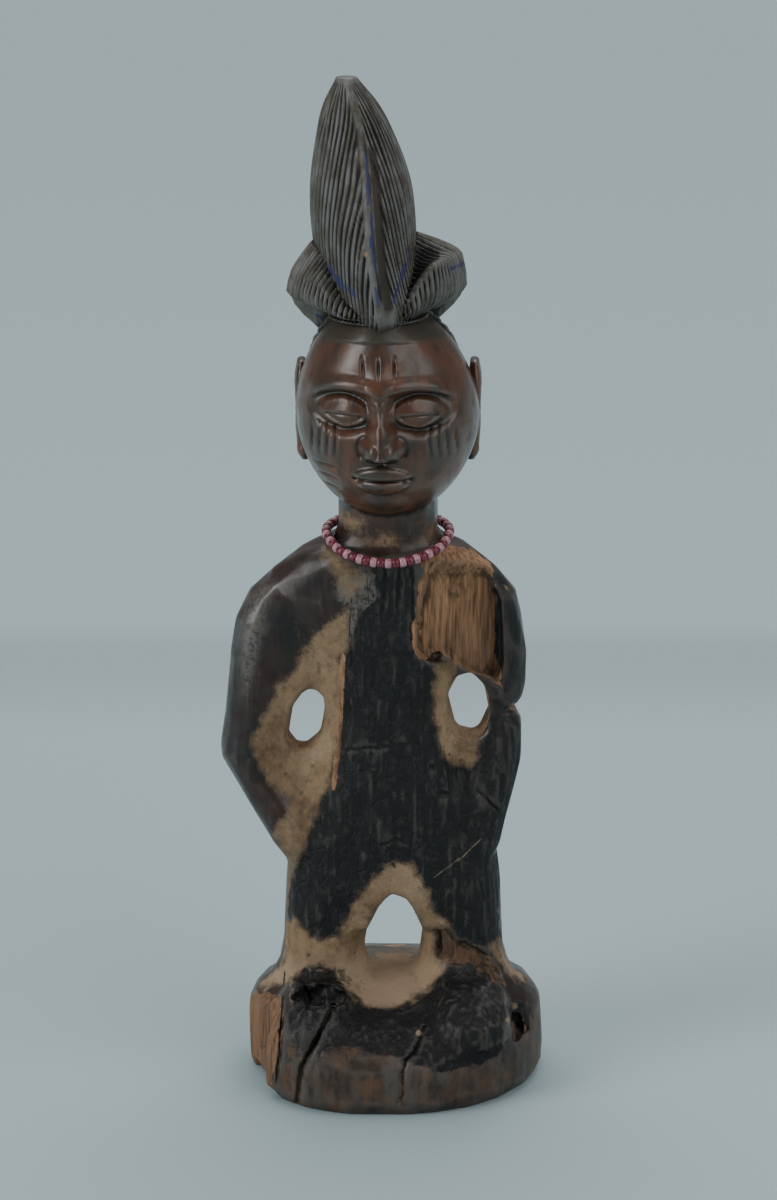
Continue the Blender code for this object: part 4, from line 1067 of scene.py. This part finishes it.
def carved_wood():
    f = Finish("carved_wood")
    f.shader.inputs["Specular IOR Level"].default_value = 0.25
    f.shader.inputs["Coat Roughness"].default_value = 0.26
    char_and_hollow_shade, tan, raw = f.channels("stain_and_shade")
    wear_and_highlight, warm, hair = f.channels("finish")
    blue, wall, forehead = f.channels("marks")
    hollow, band, keel = f.channels("depth")
    grain = f.noise(1.3, (1.0, 1.0, 14.0), 4.0, warp=0.4)
    streak = f.noise(4.0, (1.0, 1.0, 9.0))
    blotch = f.noise(11.0, (1.0, 1.0, 1.6), 4.0)
    cloud = f.noise(5.0, (1.0, 1.0, 1.2), 5.0, 0.65)
    crumb = f.noise(1.6, detail=4.0, roughness=0.7)
    dust = f.noise(0.5)
    thread = f.noise(0.55, (1.0, 1.0, 22.0), 4.0, warp=0.6)
    cell = f.cells(2.6, (1.0, 1.0, 2.2), cloud)

    body = f.blend(blotch * 0.6 + grain * 0.4, 0.38, 0.62, DEEP_BROWN, BROWN)
    face = f.blend(streak * 0.4 + blotch * 0.6, 0.42, 0.62, FACE_BROWN, RED_BROWN)
    face = f.blend(cloud * 0.7 + streak * 0.3, 0.54, 0.68, face, RUBBED_BROWN, 0.7)
    colour = f.mix(warm, body, face)
    plinth = f.blend(grain * 0.2 + cloud * 0.8, 0.38, 0.6, WALL_DARK, WALL_BROWN)
    plinth = f.blend(blotch * 0.8 + grain * 0.2, 0.5, 0.64, plinth, WALL_GREY, 0.75)
    plinth = f.blend(streak * 0.4 + cloud * 0.6, 0.52, 0.64, plinth, WALL_ORANGE, 0.65)
    colour = f.mix(wall, colour, plinth)
    colour = f.mix(forehead, colour, FOREHEAD)
    strand = f.blend(streak * 0.5 + cloud * 0.5, 0.42, 0.6, HAIR_LIGHT, HAIR_OLIVE)
    # Painted shade: the hair is darker in its grooves
    strand = f.blend(hollow + (grain - 0.5) * 0.3, 0.40, 0.58, strand, HAIR_GROOVE_SHADE)
    strand = f.mix(keel, strand, KEEL_DARK)
    colour = f.mix(hair, colour, strand)
    edge = (crumb - 0.5) * 0.7 + (dust - 0.5) * 0.5
    # Char, and painted shade in the two hollows
    burnt_and_shaded = f.step(char_and_hollow_shade + edge, 0.3, 0.62)
    scorched_and_shaded = f.blend(cloud * 0.45 + crumb * 0.35 + thread * 0.2, 0.48, 0.68, CHAR_AND_SHADE, CHAR_AND_SHADE_GREY)
    scorched_and_shaded = f.blend(cell, 0.07, 0.0, scorched_and_shaded, SOOT_AND_SHADE, 0.7)
    colour = f.mix(burnt_and_shaded, colour, scorched_and_shaded)
    # Lighter grey for the worn chest and for the painted highlights on the shoulder and elbow
    grey = f.step(wear_and_highlight + edge, 0.3, 0.75)
    colour = f.mix(grey, colour, f.blend(crumb, 0.4, 0.65, WEAR_AND_HIGHLIGHT_GREY, WALL_DARK))
    fresh = f.step(raw + edge * 0.5, 0.35, 0.6)
    fibre = f.blend(grain * 0.3 + thread * 0.4 + streak * 0.3, 0.38, 0.6, RAW_DARK, RAW_WOOD)
    fibre = f.blend(thread * 0.6 + cloud * 0.4, 0.56, 0.68, fibre, TAN, 0.35)
    fibre = f.blend(streak * 0.4 + blotch * 0.6, 0.56, 0.68, fibre, RAW_DARK, 0.7)
    # The stepped band's dark brown, and painted shade over the lower right of the split shoulder
    fibre = f.mix(band * 0.75, fibre, WALL_DARK)
    colour = f.mix(fresh, colour, fibre)
    crust = f.step(tan + edge * 0.7, 0.2, 0.8)
    ochre = f.blend(crumb * 0.2 + cloud * 0.4 + blotch * 0.4, 0.36, 0.56, TAN_DEEP, TAN)
    ochre = f.blend(blotch * 0.7 + dust * 0.3, 0.52, 0.66, ochre, TAN_LIGHT, 0.7)
    ochre = f.blend(f.axis("Z"), 0.038, 0.030, ochre, TAN_LIGHT, 0.65)
    ochre = f.blend(crumb, 0.64, 0.74, ochre, WALL_DARK, 0.7)
    colour = f.mix(crust * 0.95, colour, ochre)
    pigment = f.step(blue + (cloud - 0.5) * 1.4 + edge * 0.5, 0.4, 1.0, 0.0, 0.9)
    colour = f.mix(pigment, colour, BLUE)
    colour = f.mix(f.lines(SCRATCH, dust) * f.step(crumb, 0.35, 0.6, 0.1, 0.6), colour, TAN_LIGHT)
    crack = f.lines(HAIR_CRACKS, crumb)
    # Painted shade: deep hollows are darkened towards black
    hollow_shade = f.step(hollow, 0.6, 0.9, 0.0, 0.9) * (1.0 - crust * 0.5)
    colour = f.mix(hollow_shade, colour, SOOT_AND_SHADE)
    colour = f.mix(crack * 0.9, colour, SOOT_AND_SHADE)
    rubbed = f.step(hollow, 0.42, 0.2, 0.0, 0.3) * (1.0 - hair)
    colour = f.mix(rubbed, colour, WEAR_AND_HIGHLIGHT_GREY)

    matt = f.maths("MAXIMUM", crust, fresh)
    dull = f.step(dust * 0.4 + cloud * 0.6, 0.35, 0.65, 0.34, 0.5)
    roughness = dull + burnt_and_shaded * 0.2 + hair * 0.1 + wall * 0.12
    roughness = roughness + matt * (0.95 - roughness)
    gloss = f.step(cloud, 0.66, 0.45, 0.5, 1.0) * (1.0 - matt) * (1.0 - burnt_and_shaded * 0.7)
    gloss = gloss * (1.0 - hair * 0.8) * (1.0 - wall * 0.5) * (1.0 - forehead * 0.6)
    gloss = gloss * (0.5 + warm * 0.4 + wear_and_highlight * 0.9)
    relief = grain * (0.5 - wall * 0.25) + crumb * (0.3 + crust * 0.4) + dust * (0.15 + crust * 0.25)
    relief = relief + (grain + thread) * (fresh + burnt_and_shaded * 0.5) * 0.8 - crack * 1.5
    relief = relief + f.step(cell, 0.0, 0.1) * burnt_and_shaded * 0.7 + cloud * burnt_and_shaded * 0.8
    f.feed(f.shader.inputs["Coat Weight"], gloss)
    return f.finish(colour, roughness, relief, 0.0004, 0.6)


figure.data.materials.clear()
figure.data.materials.append(carved_wood())
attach(figure, "root")
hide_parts("ibeji_figure")


# The beads and their thread
PATTERN_RADIUS = 2.0
BEAD_RADIUS = 1.34
BEAD_HOLE = 0.4
BEAD_SQUARENESS = 2.7
BEAD_GAP = 0.05
COTTON = (0.20, 0.15, 0.11)
COTTON_DARK = (0.07, 0.05, 0.04)
PINK = (0.52, 0.27, 0.31)
PINK_DEEP = (0.34, 0.15, 0.19)
RED = (0.20, 0.024, 0.048)
RED_DEEP = (0.085, 0.012, 0.024)


def glass(name, light, dark):
    f = Finish(name)
    cloud = f.noise(0.9)
    grime = f.noise(0.5, roughness=0.7)
    colour = f.blend(cloud, 0.38, 0.64, light, dark)
    colour = f.blend(grime, 0.55, 0.75, colour, TAN_DEEP, 0.5)
    return f.finish(colour, f.step(grime, 0.4, 0.7, 0.18, 0.5), grime, 0.0001, 0.4)


def cotton():
    f = Finish("cotton_thread")
    ply = f.noise(0.3)
    return f.finish(f.blend(ply, 0.4, 0.6, COTTON, COTTON_DARK), 0.9, ply, 0.0001, 0.6)


pink = glass("pink_glass", PINK, PINK_DEEP)
red = glass("red_glass", RED, RED_DEEP)
names = sorted(name for name in nodes if name.startswith("bead_") and name != "bead_thread")
middles = [np.mean(points_of(nodes[name].data), axis=0) for name in names]
bpy.ops.object.select_all(action="DESELECT")
bpy.ops.mesh.primitive_torus_add(
    major_segments=22, minor_segments=14, major_radius=PATTERN_RADIUS * MM, minor_radius=MM
)
pattern = bpy.context.object
ring = points_of(pattern.data)
around = np.arctan2(ring[:, 1], ring[:, 0])
inward = np.hypot(ring[:, 0], ring[:, 1]) - PATTERN_RADIUS
corner = np.abs(inward) ** BEAD_SQUARENESS + np.abs(ring[:, 2]) ** BEAD_SQUARENESS
corner = corner ** (-1.0 / BEAD_SQUARENESS)
half_wall = 0.5 * (BEAD_RADIUS - BEAD_HOLE)
radius = BEAD_HOLE + half_wall + half_wall * inward * corner
plain_bead = np.stack((radius * np.cos(around), radius * np.sin(around), ring[:, 2] * corner), axis=1)
for k, name in enumerate(names):
    before = middles[k - 1]
    after = middles[(k + 1) % len(middles)]
    axis = Vector(after - before).normalized()
    half_length = 0.25 * np.linalg.norm(after - before) - BEAD_GAP
    bead = add_object("round_" + name, pattern.data.copy())
    turned = np.array(axis.to_track_quat("Z", "Y").to_matrix())
    set_points(bead.data, (plain_bead * (1.0, 1.0, half_length)) @ turned.T + middles[k])
    bead.data.shade_smooth()
    is_red = int(name[5:]) % 2 == 0
    bead.data.materials.append(red if is_red else pink)
    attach(bead, "root")
    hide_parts(name)
bpy.data.objects.remove(pattern)
for slot in nodes["bead_thread"].material_slots:
    slot.material = cotton()

# The table and the light
FLOOR = (0.367, 0.478, 0.502)
FLOOR_FAR_SHADE = (0.310, 0.405, 0.424)
FLOOR_SHADE_BAND = (0.257, 0.319, 0.335)
FLOOR_SIZE = 14.0
# Painted shade: where the paper fades to its darker far colour and where a darker band lies, in metres
# behind the middle
SHADE_FADE = (-0.4, 1.8)
SHADE_BAND_FRONT = (0.29, 0.375)
SHADE_BAND_BACK = (0.43, 0.395)
SHADE_BAND_SHARE = 0.55
SKY = (0.98, 0.99, 1.0)
SKY_STRENGTH = 0.16
bpy.ops.mesh.primitive_plane_add(size=FLOOR_SIZE)
floor = bpy.context.object
floor.name = "floor"
paper = Finish("paper")
away = paper.axis("Y")
sheet = paper.mix(paper.step(away, *SHADE_FADE), FLOOR, FLOOR_FAR_SHADE)
# Painted shade: a darker band across the paper
shade_band = paper.step(away, *SHADE_BAND_FRONT) * paper.step(away, *SHADE_BAND_BACK) * SHADE_BAND_SHARE
floor.data.materials.append(paper.finish(paper.mix(shade_band, sheet, FLOOR_SHADE_BAND), 0.9))
world = bpy.data.worlds.new("studio")
bpy.context.scene.world = world
world.use_nodes = True
sky = world.node_tree.nodes["Background"]
sky.inputs["Color"].default_value = (*SKY, 1.0)
sky.inputs["Strength"].default_value = SKY_STRENGTH


def soft_light(azimuth, elevation, spread, strength):
    """A large soft lamp, seen from the object that many degrees round from the front and up."""
    bpy.ops.object.light_add(type="SUN", location=(0.0, 0.0, 2.0))
    lamp = bpy.context.object
    lamp.data.energy = strength
    lamp.data.angle = math.radians(spread)
    lamp.rotation_euler = (math.radians(90.0 - elevation), 0.0, math.radians(azimuth))


soft_light(-62.0, 34.0, 30.0, 1.1)
soft_light(-62.0, 9.0, 30.0, 0.85)
soft_light(55.0, 34.0, 60.0, 1.25)
soft_light(178.0, 60.0, 60.0, 1.9)
